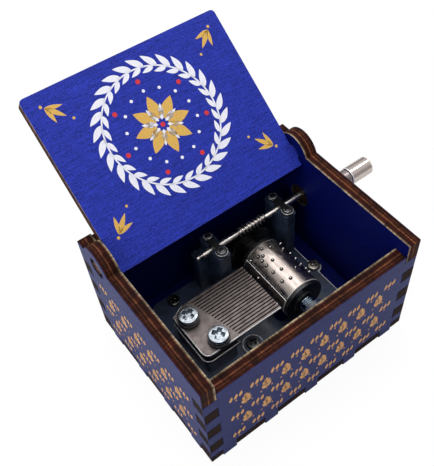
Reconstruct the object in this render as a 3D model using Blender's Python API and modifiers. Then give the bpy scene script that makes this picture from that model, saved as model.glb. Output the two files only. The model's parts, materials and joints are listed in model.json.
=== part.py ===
"""A wooden music box: a finger-jointed plywood case, a lid on plywood pivots, and a cranked comb movement.

The origin is the middle of the floor panel's underside; the case stands on wall tabs that reach just below
it. +X points to the crank, +Y to the back panel, where the lid is hinged, and +Z up. The lid is modelled
open, against its stop.
"""

import math

import bmesh
import bpy
from mathutils import Matrix

MM = 0.001

# Case
CASE_WIDTH = 64 * MM
CASE_DEPTH = 51.2 * MM
CASE_HEIGHT = 37 * MM
WALL = 3.8 * MM
FLOOR = 2.6 * MM
TAB_REACH = 1.0 * MM
LOWEST_FINGER = 5.45 * MM
TOP_FINGER = 6.45 * MM
MIDDLE_FINGERS = 6
TAB_WIDTH = 4.2 * MM
FRONT_TABS = 5
FRONT_TAB_PITCH = 13.2 * MM
SIDE_TABS = 4
SIDE_TAB_PITCH = 12.4 * MM
JOINT_GAP = 0.1 * MM

# Lid
LID_OPEN_ANGLE = math.radians(142.2)
LID_SIDE_GAP = 0.25 * MM
LID_REST_GAP = 0.25 * MM
LID_CORNER = 1.2 * MM
LID_TAIL = 4.1 * MM
HINGE_TO_BACK = 4.8 * MM
PIVOT_TAB = 3.4 * MM
PIVOT_HOLE_RADIUS = 2.8 * MM
EAR_RADIUS = 5.72 * MM

# Movement frame, placed from the inner faces of the right and back panels
SEAT_GAP = 0.05 * MM
RUNNING_GAP = 0.1 * MM
RIGHT_MARGIN = 4.8 * MM
REAR_MARGIN = 3.6 * MM
BED_THICKNESS = 2.5 * MM
BED_CORNER = 3.0 * MM
BED_LEFT_MARGIN = 1.1 * MM
BED_FRONT_MARGIN = 0.4 * MM
POST_WIDTH = 3.8 * MM
POST_DEPTH = 9.8 * MM
POST_SPACING = 22.2 * MM
POST_CORNER = 0.8 * MM
REAR_LUG_RADIUS = 2.4 * MM
FRONT_LUG_RIM = 0.95 * MM
FRONT_LUG = 1.8 * MM
REAR_LUG = 2.1 * MM
LUG_TO_WHEEL = 1.2 * MM
BOSS_RADIUS = 3.0 * MM
BOSS_HEIGHT = 0.7 * MM
EAR_ON_BED = 2.3 * MM
WINDOW_FRONT_MARGIN = 1.2 * MM
WINDOW_CORNER = 1.5 * MM
ROOT_OVERLAP = 0.5 * MM
BRACKET_WIDTH = 3.4 * MM
BRACKET_DEPTH = 3.7 * MM
BRACKET_HEIGHT = 13.2 * MM
BRACKET_REAR_MARGIN = 0.6 * MM
PEG_RADIUS = 0.5 * MM
PEG_HEIGHT = 1.1 * MM
DIMPLE_RADIUS = 0.9 * MM
DIMPLE_DEPTH = 0.6 * MM
DIMPLE_INSET = (3.7 * MM, 1.8 * MM)

# Drum
DRUM_FROM_RIGHT = 13.4 * MM
DRUM_AXIS_HEIGHT = 8.4 * MM
SLEEVE_RADIUS = 6.1 * MM
SLEEVE_WALL = 0.32 * MM
SEAM_ANGLE = math.radians(146)
SEAM_WIDTH = 0.45 * MM
SLEEVE_MARGIN = 0.23 * MM
FLANGE_WIDTH = 1.0 * MM
HUB_RADIUS = 2.8 * MM
ARBOR_RADIUS = 1.0 * MM
DRUM_TO_WHEEL = 4.6 * MM
PIN_HEIGHT = 0.5 * MM
PIN_RADIUS = 0.36 * MM
PIVOT_SCREW_RADIUS = 2.3 * MM
PIVOT_SCREW_GAP = 0.7 * MM
PIVOT_SCREW_SHOWN = 2.5 * MM
PIVOT_SCREW_END = 0.5 * MM
PIVOT_SLOT = (0.6 * MM, 0.6 * MM)
PIVOT_TIP_RADIUS = 0.55 * MM
PIVOT_TIP_LENGTH = 0.8 * MM
PIVOT_CUP_DEPTH = 1.2 * MM
FRONT_HUB_RADIUS = 3.3 * MM
FRONT_HUB = 0.5 * MM

# Comb
TEETH = 18
TOOTH_PITCH = 0.92 * MM
SLIT_WIDTH = 0.36 * MM
COMB_LENGTH = 23.8 * MM
COMB_THICKNESS = 1.0 * MM
TOOTH_THICKNESS = 0.6 * MM
COMB_ABOVE_AXIS = 1.45 * MM
TIP_GAP = 0.2 * MM
LONG_TOOTH = 17.6 * MM
SHORT_TOOTH = 13.0 * MM
COMB_CORNER = 2.0 * MM
COMB_REAR_CUT = (3.4 * MM, 1.6 * MM)
PLATFORM_REAR_CUT = 2.0 * MM
RELIEF_MARGIN = 1.0 * MM
COMB_BASE_THICKNESS = 2.5 * MM
COMB_BASE_FLANGE = 0.9 * MM
COMB_BASE_LIP = 0.2 * MM
COMB_BASE_NECK = 0.6 * MM

# Comb screws: distances from the comb's left edge and its middle line
REAR_SCREW_PLACE = (3.0 * MM, 3.6 * MM)
FRONT_SCREW_PLACE = (5.8 * MM, -5.7 * MM)
COMB_SCREW_HEAD = 2.7 * MM
COMB_SCREW_SHANK = 1.25 * MM
COMB_SCREW_HEIGHT = 1.7 * MM
WASHER_RADIUS = 2.95 * MM
WASHER_THICKNESS = 1.2 * MM

# Worm gear
WHEEL_TEETH = 36
WORM_PITCH = 1.12 * MM
WORM_PITCH_RADIUS = 1.05 * MM
WORM_LENGTH = 9.4 * MM
WORM_OFFSET = 1.1 * MM
ADDENDUM = 0.33 * MM
GEAR_CLEARANCE = 0.12 * MM
TOOTH_SHARE = 0.40
PRESSURE_ANGLE = math.radians(20)
WHEEL_WIDTH = 2.4 * MM

# Crank
SHAFT_FROM_REAR = 4.8 * MM
SHAFT_RADIUS = 0.9 * MM
SHAFT_TAIL = 6.2 * MM
SHAFT_BALL = 0.75 * MM
SHAFT_NECK = 0.45 * MM
SHAFT_NECK_END = 2.2 * MM
SHAFT_END = 0.5 * MM
CRANK_HOLE_RADIUS = 3.5 * MM
ARM_STANDOFF = 2.4 * MM
ARM_THICKNESS = 1.5 * MM
ARM_LENGTH = 13.9 * MM
ARM_ANGLE = math.radians(134)
ARM_RADIUS = 2.35 * MM
ARM_WAIST = 1.7 * MM
KNOB_RADIUS = 2.5 * MM
KNOB_LENGTH = 7.6 * MM
KNOB_CHAMFER = 0.45 * MM
KNOB_PIN_RADIUS = 0.9 * MM
KNOB_PIN_HEAD = 1.4 * MM
KNOB_PIN_HEAD_HEIGHT = 0.5 * MM

# Straps and small fasteners
STRAP_THICKNESS = 0.9 * MM
STRAP_FRONT_RADIUS = 1.7 * MM
STRAP_REAR_RADIUS = 1.3 * MM
STRAP_WAIST = 0.95 * MM
RIVET_SPACING = 6.2 * MM
RIVETS_FORWARD = 0.2 * MM
RIVET_RADIUS = 0.6 * MM
RIVET_HEAD = 1.0 * MM
RIVET_HEIGHT = 0.5 * MM
RIVET_DEPTH = 2.0 * MM
MOUNT_SCREW_HEAD = 1.8 * MM
MOUNT_SCREW_SHANK = 1.0 * MM
MOUNT_SCREW_HEIGHT = 1.1 * MM
MOUNT_SCREW_TIP = 0.5 * MM
COMB_SCREW_TIP_ABOVE_BED = 1.2 * MM
CROSS_WIDTH = 0.55 * MM
CROSS_DEPTH = 0.7 * MM
CROSS_TURN = math.radians(25)
CROSS_SHARE = 0.62

# Pins by their angle on the drum, in degrees: the comb teeth, counted from the rear, that they pluck
TUNE = {
    0: (7, 16), 20: (5, 12), 30: (1, 8, 14), 40: (11,), 50: (4,), 70: (12,), 80: (2,),
    100: (1, 6, 10, 14), 110: (3,), 120: (2, 4, 6, 9, 13), 140: (1,), 160: (6,), 180: (3, 15),
    200: (8,), 210: (0, 12), 230: (5,), 240: (9, 16), 260: (2,), 270: (7, 13), 290: (10,),
    300: (4, 17), 320: (6,), 340: (3, 9),
}

# Places that follow from the sizes
HINGE_Y = CASE_DEPTH / 2 - WALL - HINGE_TO_BACK
HINGE_Z = CASE_HEIGHT - WALL / 2
LID_REACH = HINGE_Y + CASE_DEPTH / 2
FRONT_TOP = CASE_HEIGHT - WALL - LID_REST_GAP
BED_BOTTOM = FLOOR + SEAT_GAP
BED_TOP = BED_BOTTOM + BED_THICKNESS
BED_RIGHT = CASE_WIDTH / 2 - WALL - RIGHT_MARGIN
BED_REAR = CASE_DEPTH / 2 - WALL - REAR_MARGIN
DRUM_X = BED_RIGHT - DRUM_FROM_RIGHT
DRUM_Z = BED_TOP + DRUM_AXIS_HEIGHT
SHAFT_Y = BED_REAR - SHAFT_FROM_REAR
WHEEL_PITCH_RADIUS = WHEEL_TEETH * WORM_PITCH / math.tau
SHAFT_Z = DRUM_Z + WHEEL_PITCH_RADIUS + WORM_PITCH_RADIUS
SLEEVE_LENGTH = TEETH * TOOTH_PITCH + SLEEVE_MARGIN
SLEEVE_REAR = SHAFT_Y - WHEEL_WIDTH / 2 - DRUM_TO_WHEEL
SLEEVE_FRONT = SLEEVE_REAR - SLEEVE_LENGTH
COMB_Y = (SLEEVE_REAR + SLEEVE_FRONT) / 2
COMB_WIDTH = TEETH * TOOTH_PITCH
COMB_TOP = DRUM_Z + COMB_ABOVE_AXIS
TIP_RISE = COMB_ABOVE_AXIS - TOOTH_THICKNESS
TIP_DISTANCE = math.sqrt((SLEEVE_RADIUS + PIN_HEIGHT + TIP_GAP) ** 2 - TIP_RISE**2)
COMB_TIP_X = DRUM_X - TIP_DISTANCE
COMB_LEFT = COMB_TIP_X - COMB_LENGTH
COMB_BOTTOM = COMB_TOP - COMB_THICKNESS
COMB_BASE_TOP = COMB_BOTTOM - SEAT_GAP
COMB_BASE_BOTTOM = COMB_BASE_TOP - COMB_BASE_THICKNESS
PLATFORM_TOP = COMB_BASE_BOTTOM - SEAT_GAP
BED_LEFT = COMB_LEFT - BED_LEFT_MARGIN
FLANGE_FRONT = SLEEVE_FRONT - RUNNING_GAP - FLANGE_WIDTH
PIVOT_SCREW_REAR = FLANGE_FRONT - PIVOT_SCREW_GAP
FRONT_LUG_REAR = PIVOT_SCREW_REAR - PIVOT_SCREW_SHOWN
FRONT_LUG_FRONT = FRONT_LUG_REAR - FRONT_LUG
FRONT_LUG_RADIUS = PIVOT_SCREW_RADIUS + FRONT_LUG_RIM
REAR_LUG_FRONT = SHAFT_Y + WHEEL_WIDTH / 2 + LUG_TO_WHEEL
BED_FRONT = FRONT_LUG_FRONT - BED_FRONT_MARGIN
POST_TOP = SHAFT_Z + SHAFT_RADIUS + RUNNING_GAP
STRAP_BOTTOM = POST_TOP + SEAT_GAP
STRAP_TOP = STRAP_BOTTOM + STRAP_THICKNESS
POST_Y = BED_REAR - POST_DEPTH / 2
POST_XS = (DRUM_X - POST_SPACING / 2, DRUM_X + POST_SPACING / 2)
RIVET_YS = [SHAFT_Y - RIVETS_FORWARD + half * RIVET_SPACING / 2 for half in (-1, 1)]
WORM_CREST = WORM_PITCH_RADIUS + ADDENDUM
WORM_ROOT = WORM_PITCH_RADIUS - ADDENDUM - GEAR_CLEARANCE
ARM_LEFT = CASE_WIDTH / 2 + ARM_STANDOFF
ARM_RIGHT = ARM_LEFT + ARM_THICKNESS
KNOB_LEFT = ARM_RIGHT + RUNNING_GAP
KNOB_Y = SHAFT_Y + ARM_LENGTH * math.cos(ARM_ANGLE)
KNOB_Z = SHAFT_Z + ARM_LENGTH * math.sin(ARM_ANGLE)
MOUNT_SCREW_PLACES = {
    "right": (BED_RIGHT - 0.2 * MM, 0.6 * MM),
    "rear_left": (COMB_LEFT + 5.8 * MM, BED_REAR - 2.4 * MM),
    "front": (COMB_LEFT + 14.6 * MM, SLEEVE_FRONT + 0.5 * MM),
}
COMB_SCREW_PLACES = {
    "rear": (COMB_LEFT + REAR_SCREW_PLACE[0], COMB_Y + REAR_SCREW_PLACE[1]),
    "front": (COMB_LEFT + FRONT_SCREW_PLACE[0], COMB_Y + FRONT_SCREW_PLACE[1]),
}

UPRIGHT = (math.radians(90), 0, 0)
SIDEWAYS = (math.radians(90), 0, math.radians(90))
ALONG_Y = (math.radians(-90), 0, 0)
ALONG_X = (0, math.radians(90), 0)

for old in list(bpy.data.objects):
    bpy.data.objects.remove(old)

parts = bpy.data.collections.new("music_box")
cutters = bpy.data.collections.new("cutters")
bpy.context.scene.collection.children.link(parts)
bpy.context.scene.collection.children.link(cutters)


def material(name, color, roughness, metallic=0.0):
    found = bpy.data.materials.new(name)
    found.use_nodes = True
    shader = found.node_tree.nodes["Principled BSDF"]
    shader.inputs["Base Color"].default_value = (*color, 1)
    shader.inputs["Roughness"].default_value = roughness
    shader.inputs["Metallic"].default_value = metallic
    return found


def painted_ply(name):
    return material(name, (0.035, 0.05, 0.21), 0.6)


def zinc_casting(name):
    return material(name, (0.02, 0.021, 0.024), 0.45, 0.6)


def bright_steel(name):
    return material(name, (0.62, 0.62, 0.6), 0.25, 1.0)


def black_plastic(name):
    return material(name, (0.012, 0.012, 0.013), 0.4)


def arc(center, radius, start, end, steps):
    """Points on an arc, with its angles in degrees."""
    points = []
    for step in range(steps + 1):
        angle = math.radians(start + (end - start) * step / steps)
        points.append((center[0] + radius * math.cos(angle), center[1] + radius * math.sin(angle)))
    return points


def circle(center, radius, steps=24):
    return arc(center, radius, 0, 360, steps)[:-1]


def mesh_object(name, mesh, group):
    made = bpy.data.objects.new(name, mesh)
    group.objects.link(made)
    if group is cutters:
        made.hide_render = True
        made.display_type = "WIRE"
    return made


def flat_solid(name, loops, thickness, location=(0, 0, 0), rotation=(0, 0, 0), group=parts):
    """An outline with its holes, extruded to a thickness about its own plane and made a welded mesh."""
    curve = bpy.data.curves.new(name, "CURVE")
    curve.dimensions = "2D"
    curve.fill_mode = "BOTH"
    curve.extrude = thickness / 2
    for points in loops:
        spline = curve.splines.new("POLY")
        spline.points.add(len(points) - 1)
        for point, (x, y) in zip(spline.points, points):
            point.co = (x, y, 0, 1)
        spline.use_cyclic_u = True
    source = bpy.data.objects.new(name + "_outline", curve)
    parts.objects.link(source)
    evaluated = source.evaluated_get(bpy.context.evaluated_depsgraph_get())
    mesh = bpy.data.meshes.new_from_object(evaluated)
    bpy.data.objects.remove(source)
    edit = bmesh.new()
    edit.from_mesh(mesh)
    bmesh.ops.remove_doubles(edit, verts=edit.verts, dist=0.00001 * MM)
    bmesh.ops.recalc_face_normals(edit, faces=edit.faces)
    edit.to_mesh(mesh)
    edit.free()
    made = mesh_object(name, mesh, group)
    made.location = location
    made.rotation_euler = rotation
    return made


def turned(name, profile, location, rotation, steps=32, group=parts):
    """A profile of (radius, height) points, from its outer top down, turned about the local Z axis.

    A profile that starts and ends on the axis makes a full body, and a closed one makes a bored body.
    """
    full = profile[0][0] == 0
    mesh = bpy.data.meshes.new(name)
    edges = [(index, index + 1) for index in range(len(profile) - 1)]
    if not full:
        edges.append((len(profile) - 1, 0))
    mesh.from_pydata([(radius, 0, height) for radius, height in profile], edges, [])
    made = mesh_object(name, mesh, group)
    made.location = location
    made.rotation_euler = rotation
    screw = made.modifiers.new("turn", "SCREW")
    screw.steps = steps
    screw.render_steps = steps
    screw.use_merge_vertices = True
    screw.merge_threshold = 0.0001 * MM
    return made


def drilled(name, places, radius, low, high, steps=16):
    """Round cutters along Z, as one cutter object."""
    edit = bmesh.new()
    for x, y in places:
        bmesh.ops.create_cone(
            edit, cap_ends=True, segments=steps, radius1=radius, radius2=radius, depth=high - low,
            matrix=Matrix.Translation((x, y, (low + high) / 2)),
        )
    mesh = bpy.data.meshes.new(name)
    edit.to_mesh(mesh)
    edit.free()
    return mesh_object(name, mesh, cutters)


def boolean(target, tool, operation="DIFFERENCE"):
    modifier = target.modifiers.new(tool.name, "BOOLEAN")
    modifier.operation = operation
    modifier.solver = "EXACT"
    modifier.object = tool


def finish(target, look, smooth_angle=30):
    """Gives the object its material and shades its round faces smooth."""
    target.data.materials.clear()
    target.data.materials.append(look)
    target.data.shade_smooth()
    target.data.set_sharp_from_angle(angle=math.radians(smooth_angle))
    return target


def corner_levels():
    middle = (CASE_HEIGHT - LOWEST_FINGER - TOP_FINGER) / MIDDLE_FINGERS
    return [0] + [LOWEST_FINGER + middle * index for index in range(MIDDLE_FINGERS + 1)] + [CASE_HEIGHT]


def fingered_edge(owned, outer, inner, bottom, top):
    """A corner edge, upwards, reaching `outer` on the fingers that the panel owns and `inner` between."""
    levels = corner_levels()
    points = []
    for index in range(len(levels) - 1):
        mine = index % 2 == owned
        shrink = JOINT_GAP / 2 if mine else -JOINT_GAP / 2
        low = max(levels[index] + shrink, bottom)
        high = min(levels[index + 1] - shrink, top)
        if index == len(levels) - 2:
            high = top
        if high > low:
            reach = outer if mine else inner
            points += [(reach, low), (reach, high)]
    return points


def tab_centers(count, pitch):
    return [(index - (count - 1) / 2) * pitch for index in range(count)]


def tabbed_bottom(count, pitch, level):
    """The bottom edge between the corners, from left to right, with tabs down through the floor."""
    points = []
    for center in tab_centers(count, pitch):
        left = center - TAB_WIDTH / 2
        right = center + TAB_WIDTH / 2
        points += [(left, level), (left, -TAB_REACH), (right, -TAB_REACH), (right, level)]
    return points


def mirrored(points):
    return [(-x, y) for x, y in reversed(points)]


def front_or_back(name, y, top):
    """A front or back panel, which owns the lowest corner finger and every second one above it."""
    inner = CASE_WIDTH / 2 - WALL - JOINT_GAP
    edge = fingered_edge(0, CASE_WIDTH / 2, inner, FLOOR + JOINT_GAP, top)
    loop = tabbed_bottom(FRONT_TABS, FRONT_TAB_PITCH, FLOOR + JOINT_GAP) + edge + mirrored(edge)
    return flat_solid(name, [loop], WALL, (0, y, 0), UPRIGHT)


def side_panel(name, x, holes):
    """A side panel with the round ear that carries the lid's pivot; local X is world Y."""
    inner = CASE_DEPTH / 2 - WALL - JOINT_GAP
    edge = fingered_edge(1, CASE_DEPTH / 2, inner, FLOOR + JOINT_GAP, CASE_HEIGHT)
    foot = math.degrees(math.asin((CASE_HEIGHT - HINGE_Z) / EAR_RADIUS))
    ear = arc((HINGE_Y, HINGE_Z), EAR_RADIUS, foot, 180 - foot, 20)
    bottom = tabbed_bottom(SIDE_TABS, SIDE_TAB_PITCH, FLOOR + JOINT_GAP)
    loop = bottom + edge + ear + mirrored(edge)
    return flat_solid(name, [loop] + holes, WALL, (x, 0, 0), SIDEWAYS)


def notched_side(length, count, pitch, across):
    """One side of the floor, from left to right, notched for a wall's tabs; `across` is its distance out."""
    points = [(-length / 2, -across)]
    for center in tab_centers(count, pitch):
        half = TAB_WIDTH / 2 + JOINT_GAP
        inside = -across + WALL + JOINT_GAP
        points += [
            (center - half, -across), (center - half, inside),
            (center + half, inside), (center + half, -across),
        ]
    return points


def floor_panel():
    front = notched_side(CASE_WIDTH, FRONT_TABS, FRONT_TAB_PITCH, CASE_DEPTH / 2)
    right = [(-y, x) for x, y in notched_side(CASE_DEPTH, SIDE_TABS, SIDE_TAB_PITCH, CASE_WIDTH / 2)]
    loop = front + right
    loop += [(-x, -y) for x, y in loop]
    holes = [circle(place, MOUNT_SCREW_SHANK + RUNNING_GAP, 16) for place in MOUNT_SCREW_PLACES.values()]
    made = flat_solid("floor_panel", [loop] + holes, FLOOR, (0, 0, FLOOR / 2))
    return finish(made, painted_ply("floor_ply"))


def back_stop_height():
    """The back panel's top: the open lid's outer face lies on its inner edge."""
    lean = math.pi - LID_OPEN_ANGLE
    drop = (HINGE_TO_BACK * math.sin(lean) - WALL / 2) / math.cos(lean)
    return HINGE_Z + drop - JOINT_GAP


def case_panels():
    half_depth = CASE_DEPTH / 2 - WALL / 2
    half_width = CASE_WIDTH / 2 - WALL / 2
    finish(front_or_back("front_panel", -half_depth, FRONT_TOP), painted_ply("front_ply"))
    finish(front_or_back("back_panel", half_depth, back_stop_height()), painted_ply("back_ply"))
    pivot = circle((HINGE_Y, HINGE_Z), PIVOT_HOLE_RADIUS)
    crank = circle((SHAFT_Y, SHAFT_Z), CRANK_HOLE_RADIUS)
    finish(side_panel("left_panel", -half_width, [pivot]), painted_ply("left_ply"))
    finish(side_panel("right_panel", half_width, [pivot, crank]), painted_ply("right_ply"))
    floor_panel()


def lid():
    """The lid about its pivot line: local X is world X, and local -Y runs out to the free edge."""
    half = CASE_WIDTH / 2 - WALL - LID_SIDE_GAP
    tip = CASE_WIDTH / 2 - JOINT_GAP
    corner = arc((half - LID_CORNER, LID_CORNER - LID_REACH), LID_CORNER, -90, 0, 5)
    side = corner + [
        (half, -PIVOT_TAB / 2), (tip, -PIVOT_TAB / 2), (tip, PIVOT_TAB / 2), (half, PIVOT_TAB / 2),
        (half, LID_TAIL),
    ]
    made = flat_solid("lid_panel", [side + mirrored(side)], WALL, (0, HINGE_Y, HINGE_Z))
    made.rotation_euler = (-LID_OPEN_ANGLE, 0, 0)
    return finish(made, material("lid_ply", (0.045, 0.07, 0.5), 0.55))


def rounded_box_outline(left, right, front, rear, radius, steps=5):
    return (
        arc((right - radius, front + radius), radius, -90, 0, steps)
        + arc((right - radius, rear - radius), radius, 0, 90, steps)
        + arc((left + radius, rear - radius), radius, 90, 180, steps)
        + arc((left + radius, front + radius), radius, 180, 270, steps)
    )


def lug_outline(radius, bottom, center_z):
    """An upright bearing lug with a round head, seen along Y."""
    head = arc((DRUM_X, center_z), radius, 0, 180, 12)
    return [(DRUM_X - radius, bottom), (DRUM_X + radius, bottom)] + head


def bedplate():
    """The cast frame: plate, comb platform, shaft posts, drum lugs and screw bosses in one body."""
    window = rounded_box_outline(
        DRUM_X - SLEEVE_RADIUS, DRUM_X + SLEEVE_RADIUS, SLEEVE_FRONT + WINDOW_FRONT_MARGIN, SLEEVE_REAR,
        WINDOW_CORNER, 4,
    )
    outline = rounded_box_outline(BED_LEFT, BED_RIGHT, BED_FRONT, BED_REAR, BED_CORNER)
    plate = flat_solid("bedplate", [outline, window], BED_THICKNESS, (0, 0, BED_BOTTOM + BED_THICKNESS / 2))

    bracket_right = POST_XS[0]
    bracket_left = bracket_right - POST_WIDTH / 2 - BRACKET_WIDTH
    bracket_rear = BED_REAR - BRACKET_REAR_MARGIN
    bracket_front = bracket_rear - BRACKET_DEPTH
    bracket_top = BED_TOP + BRACKET_HEIGHT
    peg_place = (bracket_left + 2 * PEG_RADIUS, bracket_rear - 2 * PEG_RADIUS)
    root = BED_TOP - ROOT_OVERLAP
    boss_top = BED_TOP + BOSS_HEIGHT
    blocks = {
        "bed_ear": (circle(MOUNT_SCREW_PLACES["right"], EAR_ON_BED), BED_BOTTOM, BED_TOP),
        "bed_boss": (circle(MOUNT_SCREW_PLACES["front"], BOSS_RADIUS), root, boss_top),
        "comb_platform": (platform_outline(-COMB_BASE_NECK), root, PLATFORM_TOP),
        "post_bracket": (
            rounded_box_outline(
                bracket_left, bracket_right, bracket_front, bracket_rear, POST_CORNER / 2, 3
            ),
            root, bracket_top,
        ),
        "bracket_peg": (circle(peg_place, PEG_RADIUS, 12), root, bracket_top + PEG_HEIGHT),
    }
    for side, x in zip(("left", "right"), POST_XS):
        outline = rounded_box_outline(
            x - POST_WIDTH / 2, x + POST_WIDTH / 2, POST_Y - POST_DEPTH / 2, POST_Y + POST_DEPTH / 2,
            POST_CORNER, 3,
        )
        blocks[side + "_post"] = (outline, root, POST_TOP)
    for name, (outline, low, high) in blocks.items():
        block = flat_solid(name, [outline], high - low, (0, 0, (low + high) / 2), group=cutters)
        boolean(plate, block, "UNION")

    lugs = (
        ("front_lug", FRONT_LUG_FRONT, FRONT_LUG, FRONT_LUG_RADIUS, PIVOT_SCREW_RADIUS + RUNNING_GAP),
        ("rear_lug", REAR_LUG_FRONT, REAR_LUG, REAR_LUG_RADIUS, ARBOR_RADIUS + RUNNING_GAP),
    )
    for name, front, thickness, radius, bore in lugs:
        loops = [lug_outline(radius, root, DRUM_Z), circle((DRUM_X, DRUM_Z), bore, 20)]
        lug = flat_solid(name, loops, thickness, (0, front + thickness / 2, 0), UPRIGHT, group=cutters)
        boolean(plate, lug, "UNION")

    groove = [(-SHAFT_RADIUS - RUNNING_GAP, 2 * POST_DEPTH)]
    groove += arc((0, 0), SHAFT_RADIUS + RUNNING_GAP, 180, 360, 10)
    groove.append((SHAFT_RADIUS + RUNNING_GAP, 2 * POST_DEPTH))
    shaft_groove = flat_solid(
        "shaft_groove", [groove], POST_SPACING + 2 * POST_WIDTH, (DRUM_X, SHAFT_Y, SHAFT_Z), SIDEWAYS,
        group=cutters,
    )
    boolean(plate, shaft_groove)

    rivets = [(x, y) for x in POST_XS for y in RIVET_YS]
    rivet_bottom = STRAP_TOP - RIVET_DEPTH - RUNNING_GAP
    boolean(plate, drilled("rivet_holes", rivets, RIVET_RADIUS + RUNNING_GAP, rivet_bottom, STRAP_TOP))
    mounts = drilled(
        "mount_holes", MOUNT_SCREW_PLACES.values(), MOUNT_SCREW_SHANK + RUNNING_GAP, 0,
        boss_top + ROOT_OVERLAP,
    )
    boolean(plate, mounts)
    taps = drilled(
        "comb_screw_holes", COMB_SCREW_PLACES.values(), COMB_SCREW_SHANK + RUNNING_GAP,
        BED_TOP + ROOT_OVERLAP, COMB_TOP,
    )
    boolean(plate, taps)
    dimple_place = (BED_LEFT + DIMPLE_INSET[0], BED_REAR - DIMPLE_INSET[1])
    dimple_bottom = BED_TOP - DIMPLE_DEPTH
    dimple = drilled("bed_dimple", [dimple_place], DIMPLE_RADIUS, dimple_bottom, BED_TOP + ROOT_OVERLAP, 14)
    boolean(plate, dimple)
    return finish(plate, zinc_casting("bed_casting"))


def slit_end(y):
    """Where a slit ends at the left: the teeth shorten from the rear, the bass side, to the front."""
    share = (y - (COMB_Y - COMB_WIDTH / 2)) / COMB_WIDTH
    return COMB_TIP_X - SHORT_TOOTH - (LONG_TOOTH - SHORT_TOOTH) * share


def platform_outline(grow):
    """The block under the comb's root, grown or shrunk from the comb's own outline."""
    front = COMB_Y - COMB_WIDTH / 2
    rear = COMB_Y + COMB_WIDTH / 2
    corner = COMB_CORNER + grow
    left_front = arc((COMB_LEFT + COMB_CORNER, front + COMB_CORNER), corner, 180, 270, 6)
    return left_front + [
        (slit_end(front) - ROOT_OVERLAP + grow, front - grow),
        (slit_end(rear) - ROOT_OVERLAP + grow, rear + grow),
        (COMB_LEFT + PLATFORM_REAR_CUT, rear + grow),
        (COMB_LEFT - grow, rear - PLATFORM_REAR_CUT),
    ]


def comb_base():
    """The bar that the comb is fixed to: a neck over a wider flange."""
    flange_top = COMB_BASE_BOTTOM + COMB_BASE_FLANGE
    screws = [circle(place, COMB_SCREW_SHANK + RUNNING_GAP, 16) for place in COMB_SCREW_PLACES.values()]
    base = flat_solid(
        "comb_base", [platform_outline(COMB_BASE_LIP)] + screws, COMB_BASE_FLANGE,
        (0, 0, (COMB_BASE_BOTTOM + flange_top) / 2),
    )
    neck_low = flange_top - COMB_BASE_FLANGE / 2
    neck = flat_solid(
        "comb_neck", [platform_outline(-COMB_BASE_NECK)] + screws, COMB_BASE_TOP - neck_low,
        (0, 0, (neck_low + COMB_BASE_TOP) / 2), group=cutters,
    )
    boolean(base, neck, "UNION")
    return finish(base, material("base_zinc", (0.3, 0.3, 0.3), 0.4, 1.0))


def comb():
    """The steel comb: slits part the teeth, whose undersides are ground thinner than the root."""
    front = COMB_Y - COMB_WIDTH / 2
    rear = COMB_Y + COMB_WIDTH / 2
    loop = arc((COMB_LEFT + COMB_CORNER, front + COMB_CORNER), COMB_CORNER, 180, 270, 6)
    for index in range(1, TEETH):
        y = front + index * TOOTH_PITCH
        low = y - SLIT_WIDTH / 2
        high = y + SLIT_WIDTH / 2
        loop += [(COMB_TIP_X, low), (slit_end(y), low), (slit_end(y), high), (COMB_TIP_X, high)]
    loop.insert(7, (COMB_TIP_X, front))
    loop += [(COMB_TIP_X, rear), (COMB_LEFT + COMB_REAR_CUT[0], rear), (COMB_LEFT, rear - COMB_REAR_CUT[1])]
    holes = [circle(place, COMB_SCREW_SHANK + RUNNING_GAP, 16) for place in COMB_SCREW_PLACES.values()]
    made = flat_solid("comb", [loop] + holes, COMB_THICKNESS, (0, 0, (COMB_TOP + COMB_BOTTOM) / 2))

    relief_top = COMB_TOP - TOOTH_THICKNESS
    relief_bottom = COMB_BOTTOM - SEAT_GAP / 2
    relief_right = COMB_TIP_X + RELIEF_MARGIN
    relief_outline = [
        (slit_end(front) + RELIEF_MARGIN, front - RELIEF_MARGIN), (relief_right, front - RELIEF_MARGIN),
        (relief_right, rear + RELIEF_MARGIN), (slit_end(rear) + RELIEF_MARGIN, rear + RELIEF_MARGIN),
    ]
    relief = flat_solid(
        "tooth_relief", [relief_outline], relief_top - relief_bottom,
        (0, 0, (relief_top + relief_bottom) / 2), group=cutters,
    )
    boolean(made, relief)
    return finish(made, material("comb_steel", (0.33, 0.3, 0.29), 0.35, 1.0))


def cross_recess(name, place, top, width, reach):
    """A cross-shaped cutter sunk into a screw head from above."""
    half = width / 2
    arm = reach
    loop = [
        (half, half), (half, arm), (-half, arm), (-half, half), (-arm, half), (-arm, -half),
        (-half, -half), (-half, -arm), (half, -arm), (half, -half), (arm, -half), (arm, half),
    ]
    tall = 2 * CROSS_DEPTH
    made = flat_solid(name, [loop], tall, (place[0], place[1], top - CROSS_DEPTH + tall / 2), group=cutters)
    made.rotation_euler = (0, 0, CROSS_TURN)
    return made


def pan_screw(name, place, seat, head, height, shank, bottom, look):
    """A pan-head screw standing at a place, with its head on a seat and its shank down to a bottom."""
    crown = [(head * math.sin(math.radians(a)), height * math.cos(math.radians(a))) for a in range(0, 61, 15)]
    waist = crown[-1][0]
    profile = [(radius * head / waist, rise) for radius, rise in crown]
    profile += [(head, 0), (shank, 0), (shank, bottom - seat), (0, bottom - seat)]
    made = turned(name, profile, (*place, seat), (0, 0, 0), 24)
    boolean(made, cross_recess(name + "_cross", place, seat + height, CROSS_WIDTH, CROSS_SHARE * head))
    return finish(made, look)


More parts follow.
